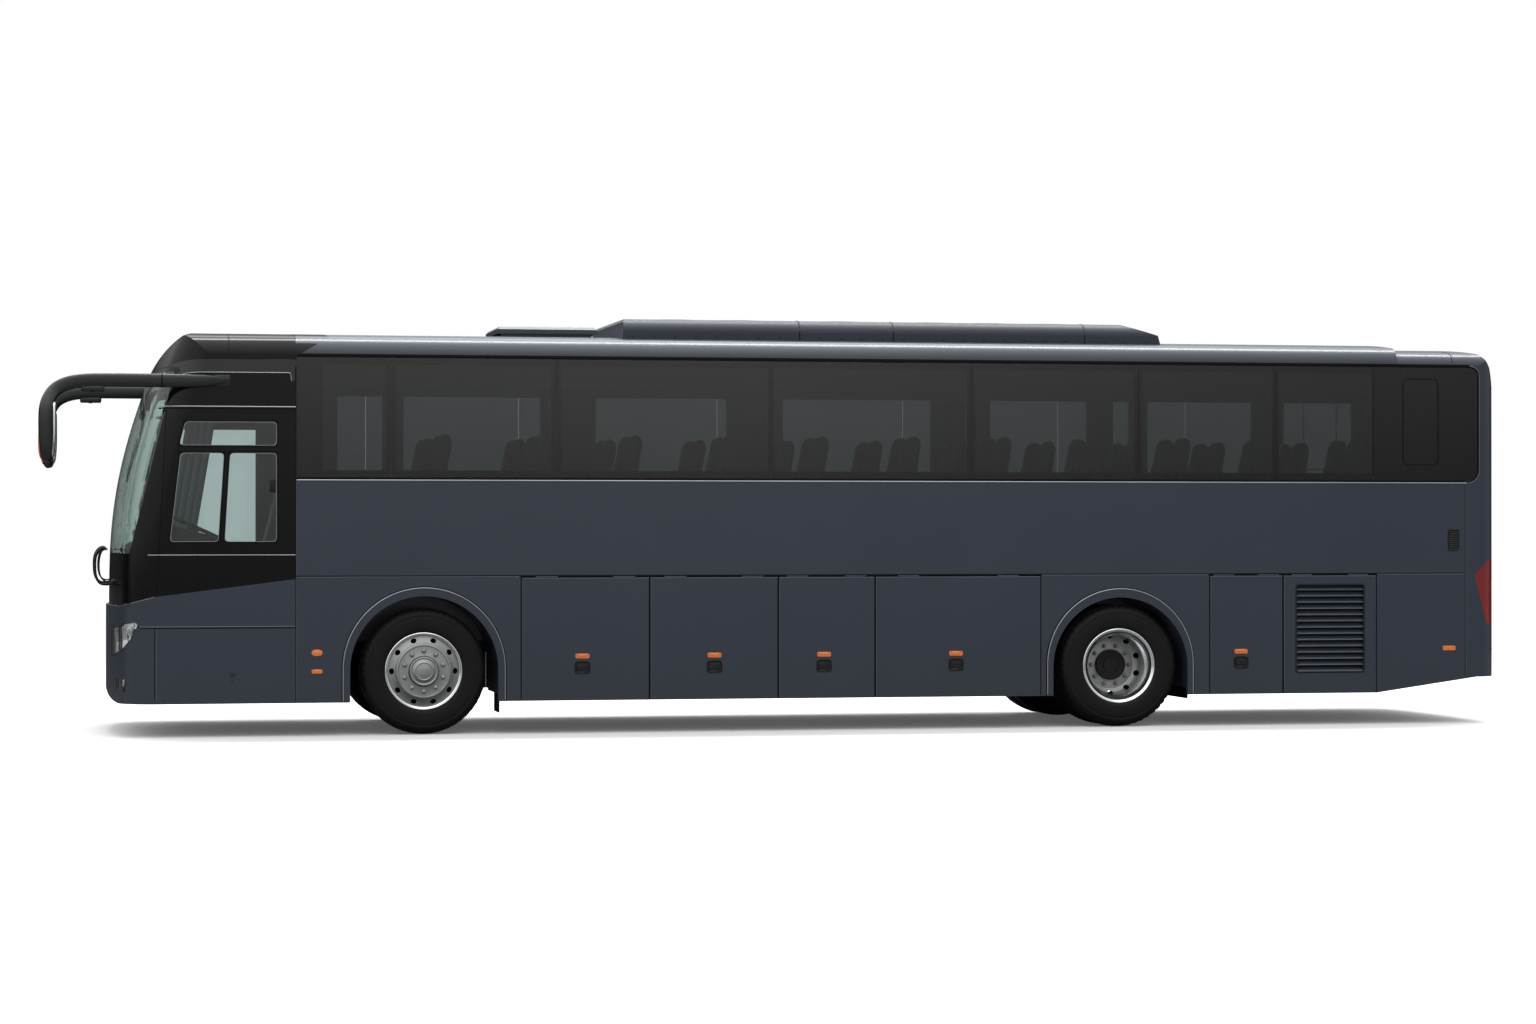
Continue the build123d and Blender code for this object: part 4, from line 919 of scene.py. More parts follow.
# lamps: bright shells behind the lenses with fine flutes and bowls pressed into them; a bowl is
# its place along the shell, height, radius and depth
lampShape = {"inset": 46, "cells": (150, 40), "flute": 14, "fluteDepth": 6, "wall": 4,
             "head": (640, (640, 950), ((180, 770, 84, 62), (372, 790, 80, 60),
                                        (560, 812, 84, 58))),
             "fog": (700, (340, 490), ((330, 424, 46, 44),))}


def planLine(inset, start):
    # the lower front's plan on the left, from a distance off the middle round to the side, as
    # evenly spaced points with their distances along the line
    count = 400
    shape = noseShape
    bowX, cornerY = shape["tip"] + shape["bow"], shape["half"] - shape["corner"]
    reach = shape["bow"] - shape["corner"]
    lean = np.arcsin(cornerY / reach)
    cornerX = bowX - reach * np.cos(lean)
    sweep = np.linspace(np.arcsin(start / (shape["bow"] - inset)), lean, count)
    onBow = np.stack([bowX - (shape["bow"] - inset) * np.cos(sweep),
                      -(shape["bow"] - inset) * np.sin(sweep)], 1)
    sweep = np.linspace(lean, pi / 2, count)
    onCorner = np.stack([cornerX - (shape["corner"] - inset) * np.cos(sweep),
                         -cornerY - (shape["corner"] - inset) * np.sin(sweep)], 1)
    side = np.stack([np.linspace(cornerX, cornerX + 120, 30), np.full(30, -shape["half"] + inset)],
                    1)
    line = np.vstack([onBow, onCorner[1:], side[1:]])
    reach = np.concatenate([[0], np.cumsum(np.linalg.norm(np.diff(line, axis=0), axis=1))])
    even = np.linspace(0, reach[-1], count)
    return even, np.stack([np.interp(even, reach, line[:, k]) for k in (0, 1)], 1)


def lampShell(start, heights, bowls):
    # the inset skin, fluted by a cosine and pushed inwards by a paraboloid at each bowl
    along, line = planLine(lampShape["inset"], start)
    columns = np.linspace(0, len(along) - 1, lampShape["cells"][0]).astype(int)
    along, line = along[columns], line[columns]
    slope = np.gradient(line, axis=0)
    inward = np.stack([-slope[:, 1], slope[:, 0]], 1)
    inward /= np.linalg.norm(inward, axis=1)[:, None]
    z = np.linspace(*heights, lampShape["cells"][1])[:, None]
    depth = lampShape["fluteDepth"] * np.cos(along * 2 * pi / lampShape["flute"]) + 0 * z
    for s, height, radius, deep in bowls:
        far = ((along - s) ** 2 + (z - height) ** 2) / radius ** 2
        depth = np.where(far < 1, deep * (1 - far), depth * np.clip(far - 1, 0, 1))
    faces = [line[None] + inward[None] * (depth + wall)[..., None]
             for wall in (0, lampShape["wall"])]
    front, back = (np.dstack([flat[..., 0], flat[..., 1], z + 0 * depth]) for flat in faces)
    return banded(np.concatenate([front, back[::-1]]))


shells = joined([lampShell(*lampShape[lamp]) for lamp in ("head", "fog")])
piece("lampBowls", bothSides(shells), chromePlate, sharp=25)
print("stage: headlamps")

# passenger seats: a leaning back with a head rest, a cushion, arm rests and a pedestal
seatSize = {"rows": 11, "pitch": 800, "firstRow": -480, "places": (-950, -480, 480, 950),
            "driver": (-1775, -700, -210), "fullness": 14, "pressure": 4.0, "steps": 20,
            "seam": 5, "panel": 138, "aisle": 700, "armOut": 232}
# seams of each pad: axis, place and width of the groove
panelSeams = [(1, -seatSize["panel"], 9), (1, seatSize["panel"], 9)]
padSeams = {"back": panelSeams + [(2, 2255, 12), (2, 1800, 12)],
            "cushion": panelSeams + [(0, 150, 12)]}
# station along the back's middle line: x, z, thickness, width
backSections = [(500, 1535, 40, 300), (508, 1548, 96, 410), (528, 1620, 118, 436),
                (548, 1720, 122, 440), (572, 1850, 112, 440), (598, 1985, 98, 436),
                (622, 2110, 88, 424), (640, 2205, 82, 396), (654, 2280, 78, 352),
                (666, 2345, 80, 318), (676, 2405, 82, 300), (684, 2450, 74, 272),
                (690, 2478, 54, 226), (693, 2490, 26, 150)]
# station along the cushion's middle line: x, z, thickness, width
cushionSections = [(20, 1628, 46, 360), (34, 1624, 96, 412), (70, 1622, 122, 434),
                   (160, 1620, 128, 438), (260, 1614, 124, 438), (350, 1606, 116, 436),
                   (430, 1600, 104, 428), (466, 1598, 72, 404), (480, 1598, 30, 320)]
# the pads' middle lines: x by height for the back, and z by x for the cushion
seatSlope = {0: ([s[1] for s in backSections], [s[0] for s in backSections]),
             2: ([s[0] for s in cushionSections], [s[1] for s in cushionSections])}


def padSurface(sections, steps, power):
    # a superellipse swept along the middle line, wider than thick
    middle = softened(sections, steps)
    path = np.stack([middle[:, 0], 0 * middle[:, 0], middle[:, 1]], 1)
    return swept(path, roundOutline(1, 1, power, 36), middle[:, 2:4])


def stuffed(name, part):
    # cloth blown up from inside on its own mesh, with each point's travel held back; points
    # that meet at a pole are one in the cloth
    points, faces = part
    spots, which = np.unique(np.round(points, 3), axis=0, return_inverse=True)
    which = which.reshape(-1)
    start = end = spots * 0.001
    corners = [list(dict.fromkeys(face)) for face in which[faces].tolist()]
    mesh = bpy.data.meshes.new(name)
    mesh.from_pydata(start.tolist(), [], [face for face in corners if len(face) > 2])
    pad = placed(name, mesh)
    shape = bmesh.new()
    shape.from_mesh(mesh)
    bmesh.ops.recalc_face_normals(shape, faces=shape.faces)
    shape.to_mesh(mesh)
    shape.free()
    cloth = pad.modifiers.new("stuffing", "CLOTH")
    cloth.settings.use_pressure = True
    cloth.settings.uniform_pressure_force = seatSize["pressure"]
    cloth.settings.effector_weights.gravity = 0
    for step in range(1, seatSize["steps"] + 1):
        bpy.context.scene.frame_set(step)
    seen = pad.evaluated_get(bpy.context.evaluated_depsgraph_get()).to_mesh()
    blown = np.empty(len(seen.vertices) * 3)
    seen.vertices.foreach_get("co", blown)
    end = blown.reshape(-1, 3)
    bpy.context.scene.frame_set(1)
    bpy.data.objects.remove(pad)
    bpy.data.meshes.remove(mesh)
    travel = end - start
    length = np.linalg.norm(travel, axis=1)[:, None]
    limit = seatSize["fullness"] * 0.001
    end = start + travel * np.minimum(1, limit / np.maximum(length, 1e-9))
    return end[which] * 1000, faces


def sewn(part, lines, across):
    # seams are narrow grooves: points near a line are drawn towards the pad's middle
    points, faces = part
    points = points.copy()
    depth = np.zeros(len(points))
    for axis, place, width in lines:
        depth = np.maximum(depth, np.exp(-((points[:, axis] - place) / width) ** 2))
    away = points[:, across] - np.interp(points[:, 2 - across], *seatSlope[across])
    points[:, across] -= np.sign(away) * depth * seatSize["seam"]
    return points, faces


back = sewn(stuffed("backPad", padSurface(backSections, 3, 3.4)), padSeams["back"], 0)
cushion = sewn(stuffed("cushionPad", padSurface(cushionSections, 3, 4)), padSeams["cushion"], 2)
# low corner, high corner and edge radius of each block
seatBlocks = {"pedestal": (((150, -30, 1309), (420, 30, 1330), 6),
                           ((230, -26, 1322), (340, 26, 1540), 10),
                           ((120, -200, 1530), (470, 200, 1556), 8),
                           ((470, -30, 1530), (560, 30, 1580), 8)),
              "armRest": (((300, -22, 1812), (590, 22, 1846), 12),
                          ((530, -9, 1640), (575, 9, 1830), 7))}
seatPlaces = [(seatSize["firstRow"] + row * seatSize["pitch"], y, 0)
              for row in range(seatSize["rows"]) for y in seatSize["places"]]
seatPlaces.append(seatSize["driver"])
for name, pad in (("seatBacks", back), ("seatCushions", cushion)):
    pads = piece(name, repeated(pad, seatPlaces), seatPlush, sharp=80,
                 replaces=("seats",))
pedestal, armRest = (joined([roundedBlock(*block, 2) for block in seatBlocks[part]])
                     for part in ("pedestal", "armRest"))
piece("seatPedestals", repeated(pedestal, seatPlaces), greyPlastic,
      replaces=("seats",))
# only the seats on the aisle have an arm rest
armPlaces = [(x, y - np.sign(y) * seatSize["armOut"], z) for x, y, z in seatPlaces[:-1]
             if abs(y) < seatSize["aisle"]]
piece("seatArms", repeated(armRest, armPlaces), blackPlastic)
print("stage: seats")

# steering wheel: a leather rim, three spokes and a boss on a column that leans to the driver
steerSize = {"centre": (-1851, -700, 1712), "lean": 24, "rim": 212, "grip": 14, "column": 200}


def leaned(part):
    # from lying flat at the origin to its place, facing up and back towards the driver
    points, faces = part
    lean = radians(steerSize["lean"])
    x = points[:, 0] * cos(lean) + points[:, 2] * sin(lean)
    z = points[:, 2] * cos(lean) - points[:, 0] * sin(lean)
    return np.stack([x, points[:, 1], z], 1) + np.array(steerSize["centre"], float), faces


rim = revolved([(steerSize["rim"] + steerSize["grip"] * cos(a), steerSize["grip"] * sin(a))
                for a in np.arange(13) * pi / 6], (0, 0, 0), 72, 2)
piece("steeringRim", leaned(rim), rimLeather, replaces=("steering_wheel",))
spokeLine = ((30, -6), (110, -10), (steerSize["rim"], 0))
spokes = [swept([(reach * cos(a), reach * sin(a), rise) for reach, rise in spokeLine],
                roundOutline(34, 12, 3, 16), up=(0, 0, 1))
          for a in (radians(0), radians(120), radians(240))]
boss = revolved([(0, 16), (38, 15), (54, 8), (60, -8), (48, -30), (34, -44), (30, -60),
                 (28, -steerSize["column"]), (0, -steerSize["column"])], (0, 0, 0), 40, 2)
piece("steeringBoss", leaned(joined(spokes + [boss])), blackPlastic,
      replaces=("steering_wheel",))

# dashboard hood round the dials, and the pale cover of the door pillar on the far side
hood = swept([(-2085, steerSize["centre"][1] + across, z) for across, z in
              ((-210, 1700), (-120, 1752), (0, 1764), (120, 1752), (210, 1700))],
             roundOutline(150, 26, 4, 24), up=(1, 0, 0))
binnacle = roundedBlock((-2150, -900, 1660), (-2020, -500, 1706), 14)
switch = roundedBlock((-2010, -420, 1686), (-1992, -240, 1700), 4, 2)
switches = repeated(switch, [(26 * row, 0, -18 * row) for row in range(3)])
piece("dashHood", joined([hood, binnacle, switches]), blackPlastic)
pillarCover = {"foot": (-1905, 1600), "head": (-1720, 2700), "width": 250, "y": 1120,
               "ribs": 4, "ribDepth": 14, "wall": 12}
# shallow ribs along the cover: its depth is a row of rounded waves
u = np.linspace(0, 1, 25)[None]
middle = np.linspace(pillarCover["foot"], pillarCover["head"], 12)[:, None]
waves = pillarCover["ribDepth"] * np.abs(np.sin(u * pillarCover["ribs"] * pi)) ** 0.6
front = np.dstack([middle[..., 0] + (u - 0.5) * pillarCover["width"],
                   pillarCover["y"] - waves + 0 * middle[..., 0], middle[..., 1] + 0 * u])
behind = front * (1, 0, 1) + (0, pillarCover["y"] + pillarCover["wall"], 0)
piece("pillarCover", banded(np.concatenate([front, behind[::-1]])), paleTrim)
print("stage: cab interior")

# mirrors: a boom that bows over the screen's edge and hangs a head; each station is x, z,
# height, width and y, and the blocks are the foot on the body and the pod under the boom
mirrorShape = {
    "boom": [(-1575, 2906, 10, 6, -1252), (-1590, 2906, 34, 22, -1256),
             (-1660, 2902, 62, 40, -1264), (-1780, 2896, 96, 60, -1282),
             (-2000, 2894, 108, 70, -1292), (-2300, 2895, 112, 74, -1293),
             (-2560, 2895, 112, 74, -1293), (-2740, 2890, 112, 74, -1293),
             (-2870, 2868, 112, 78, -1293), (-2965, 2822, 112, 100, -1300),
             (-3020, 2752, 112, 160, -1312), (-3044, 2670, 118, 214, -1320),
             (-3049, 2570, 120, 236, -1320), (-3048, 2450, 118, 238, -1320),
             (-3044, 2340, 110, 232, -1320), (-3040, 2268, 92, 206, -1320),
             (-3037, 2234, 56, 150, -1320), (-3036, 2226, 10, 40, -1320)],
    "glass": [(-2985, 2715, 20, 120, -1320), (-2984, 2690, 30, 176, -1320),
              (-2984, 2600, 32, 198, -1320), (-2984, 2450, 32, 202, -1320),
              (-2989, 2350, 32, 196, -1320), (-2997, 2290, 30, 168, -1320),
              (-3001, 2270, 16, 110, -1320)],
    "repeater": [(-3098, 2492, 6, 20, -1320), (-3100, 2470, 16, 60, -1320),
                 (-3101, 2400, 18, 74, -1320), (-3098, 2320, 18, 74, -1320),
                 (-3090, 2272, 14, 54, -1320), (-3086, 2258, 5, 20, -1320)],
    "blocks": (((-1712, -1266, 2846), (-1576, -1236, 2948), 12),
               ((-2771, -1322, 2800), (-2587, -1264, 2852), 15)),
    "collar": (-2136, -2135, -2125, -2124)}


def boomSurface(stations, steps, power):
    # a superellipse swept along the stations
    line = softened(stations, steps)
    path = np.stack([line[:, 0], line[:, 4], line[:, 1]], 1)
    return swept(path, roundOutline(1, 1, power, 32), line[:, 2:4])


housing = [boomSurface(mirrorShape["boom"], 4, 3.2)]
housing += [roundedBlock(*block) for block in mirrorShape["blocks"]]
piece("mirrorHousings", bothSides(joined(housing)), satinBlack,
      replaces=("mirrors",))
# the glass fills the head's rear face and leans with it; its edge shows past the housing
piece("mirrorGlass", bothSides(boomSurface(mirrorShape["glass"], 4, 4)), mirrorGlass)
piece("mirrorRepeaters", bothSides(boomSurface(mirrorShape["repeater"], 4, 3)), amberLens)
collar = swept([(x, -1292.5, 2894.5) for x in mirrorShape["collar"]],
               roundOutline(111, 75, 3.2, 32))
podLens = revolved([(0, 0), (17, 0), (17, -4), (13, -6), (0, -6)], (-2680, -1293, 2802), 24, 2)
piece("mirrorSeams", bothSides(joined([collar, podLens])), sealRubberAndGapShade)
print("stage: mirrors")

# wipers: a bowed arm with a return rod, and a blade carried by three claws; points are x and z
wiperShape = {"places": (-560, 520), "pivot": 1252, "bladeHalf": 418, "bladeBow": 7,
              "claws": (-300, 0, 300),
              "arm": [(-2506, 1248), (-2560, 1236), (-2612, 1246), (-2646, 1300), (-2655, 1380),
                      (-2650, 1460), (-2624, 1515), (-2590, 1538), (-2566, 1536)],
              "rod": [(-2506, 1262), (-2570, 1262), (-2608, 1300), (-2622, 1370), (-2618, 1450),
                      (-2600, 1506), (-2572, 1530)]}
spine = np.linspace(-wiperShape["bladeHalf"], wiperShape["bladeHalf"], 41)
bow = wiperShape["bladeBow"] * (1 - (spine / wiperShape["bladeHalf"]) ** 2)
wiperPieces = []
for y in wiperShape["places"]:
    for line, thick, wide in ((wiperShape["arm"], 22, 30), (wiperShape["rod"], 12, 16)):
        flat = softened(line, 5)
        path = np.stack([flat[:, 0], y + 0 * flat[:, 0], flat[:, 1]], 1)
        wiperPieces.append(swept(path, roundOutline(thick, wide, 3, 16)))
    wiperPieces.append(revolved([(0, -2500), (26, -2500), (28, -2512), (22, -2520), (0, -2522)],
                                (0, y, wiperShape["pivot"]), 24, 0))
    path = np.stack([-2566 - bow, y + spine, 1530 + 0 * spine], 1)
    wiperPieces.append(swept(path, roundOutline(9, 16, 3, 12), up=(1, 0, 0)))
    for claw in wiperShape["claws"]:
        wiperPieces.append(roundedBlock((-2582, y + claw - 22, 1519), (-2562, y + claw + 22, 1541),
                                        4, 2))
    path = np.stack([-2557 + 0 * spine, y + spine, 1528 + 0 * spine], 1)
    wiperPieces.append(swept(path, roundOutline(6, 9, 3, 8), up=(1, 0, 0)))
piece("wiperArms", joined(wiperPieces), blackPlastic, replaces=("wipers",))
print("stage: wipers")

# the side glass ends in round corners: painted fillers, a pale bead painting a highlight round the
# glass's end, and a black one inside it
bandEnd = {"x": 9216, "low": 2094, "high": 3112, "radiusLow": 112, "radiusHigh": 84}


def cornerArc(grow, low=True):
    # a quarter circle about the corner's centre, its radius changed by grow
    radius = bandEnd["radiusLow" if low else "radiusHigh"]
    z = bandEnd["low"] + radius if low else bandEnd["high"] - radius
    angle = np.linspace(-pi / 2, 0, 14) if low else np.linspace(0, pi / 2, 14)
    return np.stack([bandEnd["x"] - radius + (radius + grow) * np.cos(angle),
                     z + (radius + grow) * np.sin(angle)], 1)


def sideAt(flat, proud):
    # places on the flat side of the body, given along the bus and as heights
    return np.stack([flat[:, 0], sideLine["left"] - proud + 0 * flat[:, 0], flat[:, 1]], 1)


fillers = []
for low in (True, False):
    arc = cornerArc(0, low)
    corner = np.repeat([[bandEnd["x"] + 2, bandEnd["low"] if low else bandEnd["high"]]],
                       len(arc), 0).astype(float)
    fillers.append(banded([sideAt(arc, -3), sideAt(arc, 1.5), sideAt(corner, 1.5),
                           sideAt(corner, -3)]))
piece("glassCorners", bothSides(joined(fillers)), slatePaint)
upright = np.array([[bandEnd["x"], z] for z in np.linspace(2300, 2950, 6)])
outer = np.vstack([cornerArc(0), upright, cornerArc(0, False)])
piece("glassEndBead", bothSides(swept(sideAt(outer, 3), circleOf(4.5, 8))), highlightPaint)
inner = np.vstack([cornerArc(-9), upright - (9, 0), cornerArc(-9, False)])
piece("glassEndSeal", bothSides(swept(sideAt(inner, 3), circleOf(6, 8))), sealRubberAndGapShade)
print("stage: ends of the side glass")

# one search tree for each group of nodes, kept once it is built
nodeTrees = {}


def castOn(names, starts, way):
    # where rays in one direction first meet the named CAD nodes, in millimetres; a miss is left out
    if names not in nodeTrees:
        points, faces = [], []
        for name in names:
            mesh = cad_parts[name].data
            base = len(points)
            points += [v.co.copy() for v in mesh.vertices]
            faces += [[base + i for i in p.vertices] for p in mesh.polygons]
        nodeTrees[names] = BVHTree.FromPolygons(points, faces)
    hits = [nodeTrees[names].ray_cast(Vector(start), Vector(way))[0]
            for start in toMetres(starts).reshape(-1, 3)]
    hits = [place for place in hits if place is not None]
    return (np.array(hits).reshape(-1, 3) - (axleInFrame, 0, 0)) * 1000


# tail: window rubber, seams, lamps and the lid's handle and cooling slots
tailShape = {"window": ((-985, 985), (2238, 2962)), "corner": 90, "seam": (1180, 640, 40),
             "brake": (260, 3040, 20), "slots": (1560, 1840, 9), "slotReach": (130, 720),
             "lampOut": 1038, "lampWidth": 90, "far": 9800,
             "handle": (((9418, -95, 940), (9427, 95, 985), 4),
                        ((9420, -80, 935), (9430, 80, 947), 4))}
# name, material, height off the road and own height of each rounded lens
tailLenses = (("tailIndicators", amberLens, 1330, 74), ("tailStopLamps", redLens, 1210, 116),
              ("tailReverseLamps", lampGlass, 1060, 90), ("tailFogLamps", redLens, 950, 90))
tailNodes = ("rear_panel", "engine_lid", "body_glass", "tail_lamps")


def onTail(y, z, names=tailNodes):
    # rays from far behind find the tail's skin
    starts = np.stack(np.broadcast_arrays(float(tailShape["far"]), y, z), 1)
    return castOn(names, starts, (-1, 0, 0))


def tubeOnTail(path, radius, sunk=0.0):
    # a slim bead laid on the tail, let in by a depth
    return swept(path - (sunk, 0, 0), circleOf(radius, 8), up=(1, 0, 0))


outline = roundedFrame(*tailShape["window"], tailShape["corner"], 8)
outline = np.vstack([outline, outline[:1]])
piece("rearWindowRubber", tubeOnTail(onTail(outline[:, 0], outline[:, 1]), 11), sealRubberAndGapShade)
for name, line, radius, sunk, material in (("rearSeam", "seam", 5, 0, sealRubberAndGapShade),
                                           ("highBrakeLamp", "brake", 12, 4, redLens)):
    half, z, count = tailShape[line]
    piece(name, tubeOnTail(onTail(np.linspace(-half, half, count), z), radius, sunk), material)
lid = [tubeOnTail(onTail(np.linspace(*tailShape["slotReach"], 12) * sign, z, ("engine_lid",)), 8, 3)
       for z in np.linspace(*tailShape["slots"]) for sign in (-1, 1)]
lid += [roundedBlock(*block) for block in tailShape["handle"]]
piece("lidSlots", joined(lid), blackPlastic, "engine_lid_body")
for name, material, z, tall in tailLenses:
    lens = []
    for y in (-tailShape["lampOut"], tailShape["lampOut"]):
        skin = onTail(np.array([y]), z)[0, 0]
        levels = [(0, -12), (1, -12), (1, -1), (0.95, 3), (0.8, 4), (0.78, 1), (0.5, 3), (0, 4)]
        flat = roundOutline(tailShape["lampWidth"], tall, 3.6, 32) + (y, z)
        lens.append(stacked(flat, [(share, skin + proud) for share, proud in levels], 0, (y, z)))
    piece(name, joined(lens), material)
print("stage: tail")

# entrance door: a rubber round the leaf and round its pane, and a flush handle
doorShape = {"leaf": [(-2083, 332), (-1127, 332), (-1127, 2688), (-2083, 2688)],
             "pane": [(-1975, 700), (-1235, 700), (-1235, 2580), (-1935, 2580)], "rubber": 12,
             "handle": (-1185, 1290, 66, 190, [(0, 0), (1, 0), (1, 4), (0.94, 6), (0.84, 6),
                                               (0.8, 2), (0, 2)], 4),
             "grip": ((-1206, -1262, 1240), (-1196, -1251, 1340), 4)}
rings = []
for edge in ("leaf", "pane"):
    line = np.array(doorShape[edge], float)
    outside = np.vstack([np.linspace(line[k], line[(k + 1) % 4], 16)[:-1] for k in range(4)])
    centre = line.mean(axis=0)
    inside = outside - np.sign(outside - centre) * doorShape["rubber"] * (
        np.abs(outside - centre) > 0.98 * np.abs(line - centre).min(axis=0))
    rings.append(ringOn(outside, inside, 3, 6))
piece("doorRubber", mirrored(joined(rings)), sealRubberAndGapShade)
handle = joined([plateAt(*doorShape["handle"]), roundedBlock(*doorShape["grip"])])
piece("doorHandle", mirrored(handle), blackPlastic)
print("stage: entrance door")

# the black cap reaches back over the cove in a slanted edge, and seams cross the cove
capShape = {"front": -1049, "foot": (3120, -1020), "head": (3269, -775), "proud": 1.2, "sunk": -2,
            "section": -900}
coveSeams = {"x": (-1590, 8970), "radius": 3.5, "points": 14, "lean": (12, 86), "out": 500,
             "middle": (1000, 3090)}


def coveLine(sign, along):
    # a bead round the cove, on the points that rays towards a middle inside the roof's edge meet
    y, z = coveSeams["middle"]
    path = []
    for lean in np.radians(np.linspace(*coveSeams["lean"], coveSeams["points"])):
        place = (along, sign * (y + coveSeams["out"] * cos(lean)), z + coveSeams["out"] * sin(lean))
        path.append(castOn(("roof_shell", "front_cap", "rear_panel"), [place],
                           (0, -sign * cos(lean), -sin(lean))))
    return swept(np.vstack(path), circleOf(coveSeams["radius"], 8), up=(1, 0, 0))


def roofSection(along, lift):
    # the roof's outline at one place, from gutter to gutter, lifted square to its skin
    y, z = np.linspace(-1222, 1222, 41), np.linspace(3123, 3206, 8)
    top = castOn(("roof_shell",), np.stack([along + 0 * y, y, 3600 + 0 * y], 1), (0, 0, -1))
    side = castOn(("roof_shell",), np.stack([along + 0 * z, -1400 + 0 * z, z], 1), (0, 1, 0))
    line = np.vstack([side, top, (side * (1, -1, 1))[::-1]])
    slope = np.gradient(line, axis=0)
    square = np.stack([0 * slope[:, 0], -slope[:, 2], slope[:, 1]], 1)
    return line + lift * square / np.linalg.norm(square, axis=1)[:, None]


skin, under = (roofSection(capShape["section"], capShape[lift]) for lift in ("proud", "sunk"))
edge = np.interp(skin[:, 2], *zip(capShape["foot"], capShape["head"]))
rows = [np.column_stack([x + 0 * edge, line[:, 1:]]) for x, line in
        ((capShape["front"], under), (capShape["front"], skin), (edge, skin), (edge, under))]
piece("capBack", banded(rows), blackPaint)
piece("coveSeams", joined([coveLine(sign, x) for sign in (-1, 1) for x in coveSeams["x"]]),
      sealRubberAndGapShade)
print("stage: roof seams")

# condenser fans in the roof unit: guards of rings and spokes over dark wells
fanSize = {"radius": 245, "stations": (2200, 2750, 3640, 4440, 4960, 5500), "y": 430,
           "rings": (70, 114, 158, 202, 245), "hub": 30, "spokes": 12, "wire": 2.6}
# sections of a well, from the middle under the skin out to its edge and back above it
wellSize = {"share": np.array([0, 0.01, 0.3, 0.6, 1, 1.02, 1, 0.6, 0.3, 0]),
            "rise": np.array([-3, -3, -3, -3, -3, 0, 1.2, 1.2, 1.2, 1.2]), "margin": 10}
fullTurn = np.linspace(0, 2 * pi, 41)


def onUnit(x, y):
    # rays from above find the unit's crowned cover
    starts = np.stack([x, y, 3700 + 0 * x], -1).reshape(-1, 3)
    return castOn(("ac_unit",), starts, (0, 0, -1)).reshape(*x.shape, 3)


def roundFan(middle, reach, angle):
    # places at distances and angles from a fan's middle, brought up to the cover
    return onUnit(middle[0] + reach * np.cos(angle), middle[1] + reach * np.sin(angle))


wells, guards = [], []
for middle in [(x, sign * fanSize["y"]) for x in fanSize["stations"] for sign in (-1, 1)]:
    radii = wellSize["share"][:, None] * (fanSize["radius"] + wellSize["margin"])
    rows = roundFan(middle, radii, fullTurn[:-1])
    rows[..., 2] += wellSize["rise"][:, None]
    wells.append(sheetOf(rows))
    lines = [roundFan(middle, reach, fullTurn) for reach in fanSize["rings"]]
    lines += [roundFan(middle, np.linspace(fanSize["hub"], fanSize["radius"], 6), angle)
              for angle in np.arange(fanSize["spokes"]) * 2 * pi / fanSize["spokes"]]
    guards += [swept(line + (0, 0, fanSize["wire"]), circleOf(fanSize["wire"], 8), up=(0, 0, 1))
               for line in lines]
piece("fanWells", joined(wells), sealRubberAndGapShade)
piece("fanGuards", joined(guards), blackPlastic)
print("stage: roof fans")

# driver's side console beside the wheel: a rounded box swept along, drawn in at both ends
consoleShape = {"y": -1075, "size": 150, "path": ((-2160, 1650), (-2100, 1660), (-1900, 1610),
                                                 (-1700, 1555), (-1640, 1530)),
                "ends": (0.5, 1, 1, 1, 0.6)}
console = swept([(x, consoleShape["y"], z) for x, z in consoleShape["path"]],
                roundOutline(consoleShape["size"], consoleShape["size"], 5, 24),
                np.array([[share, share] for share in consoleShape["ends"]]))
piece("driverConsole", console, blackPlastic)
print("stage: driver's console")

# the world lights evenly and shows white; what paint and glass mirror is set by the shine values
studio = {"skyZenith": 1.0, "skyHorizon": 0.5, "shineLow": 0.6, "shineWall": 1.3,
          "shineTop": 2.6, "shineRear": 0.5, "shineFront": 0.85, "shineBehind": 0.95,
          "floorBounce": 0.35, "floorSeen": 1.16, "floorBehind": 0.05, "shadowLift": 0.08,
          "floorX": (-70, 70), "floorY": (-45, 75),
          "keyPower": 1400, "keySize": (17, 1.6), "keyPlace": (1.5, 0.6, 9),
          "lens": 82.03, "sensor": 36, "cameraPlace": (-6.0397, -30.0114, 1.7091),
          "cameraTurn": (90.24675, 0, -11.3227)}


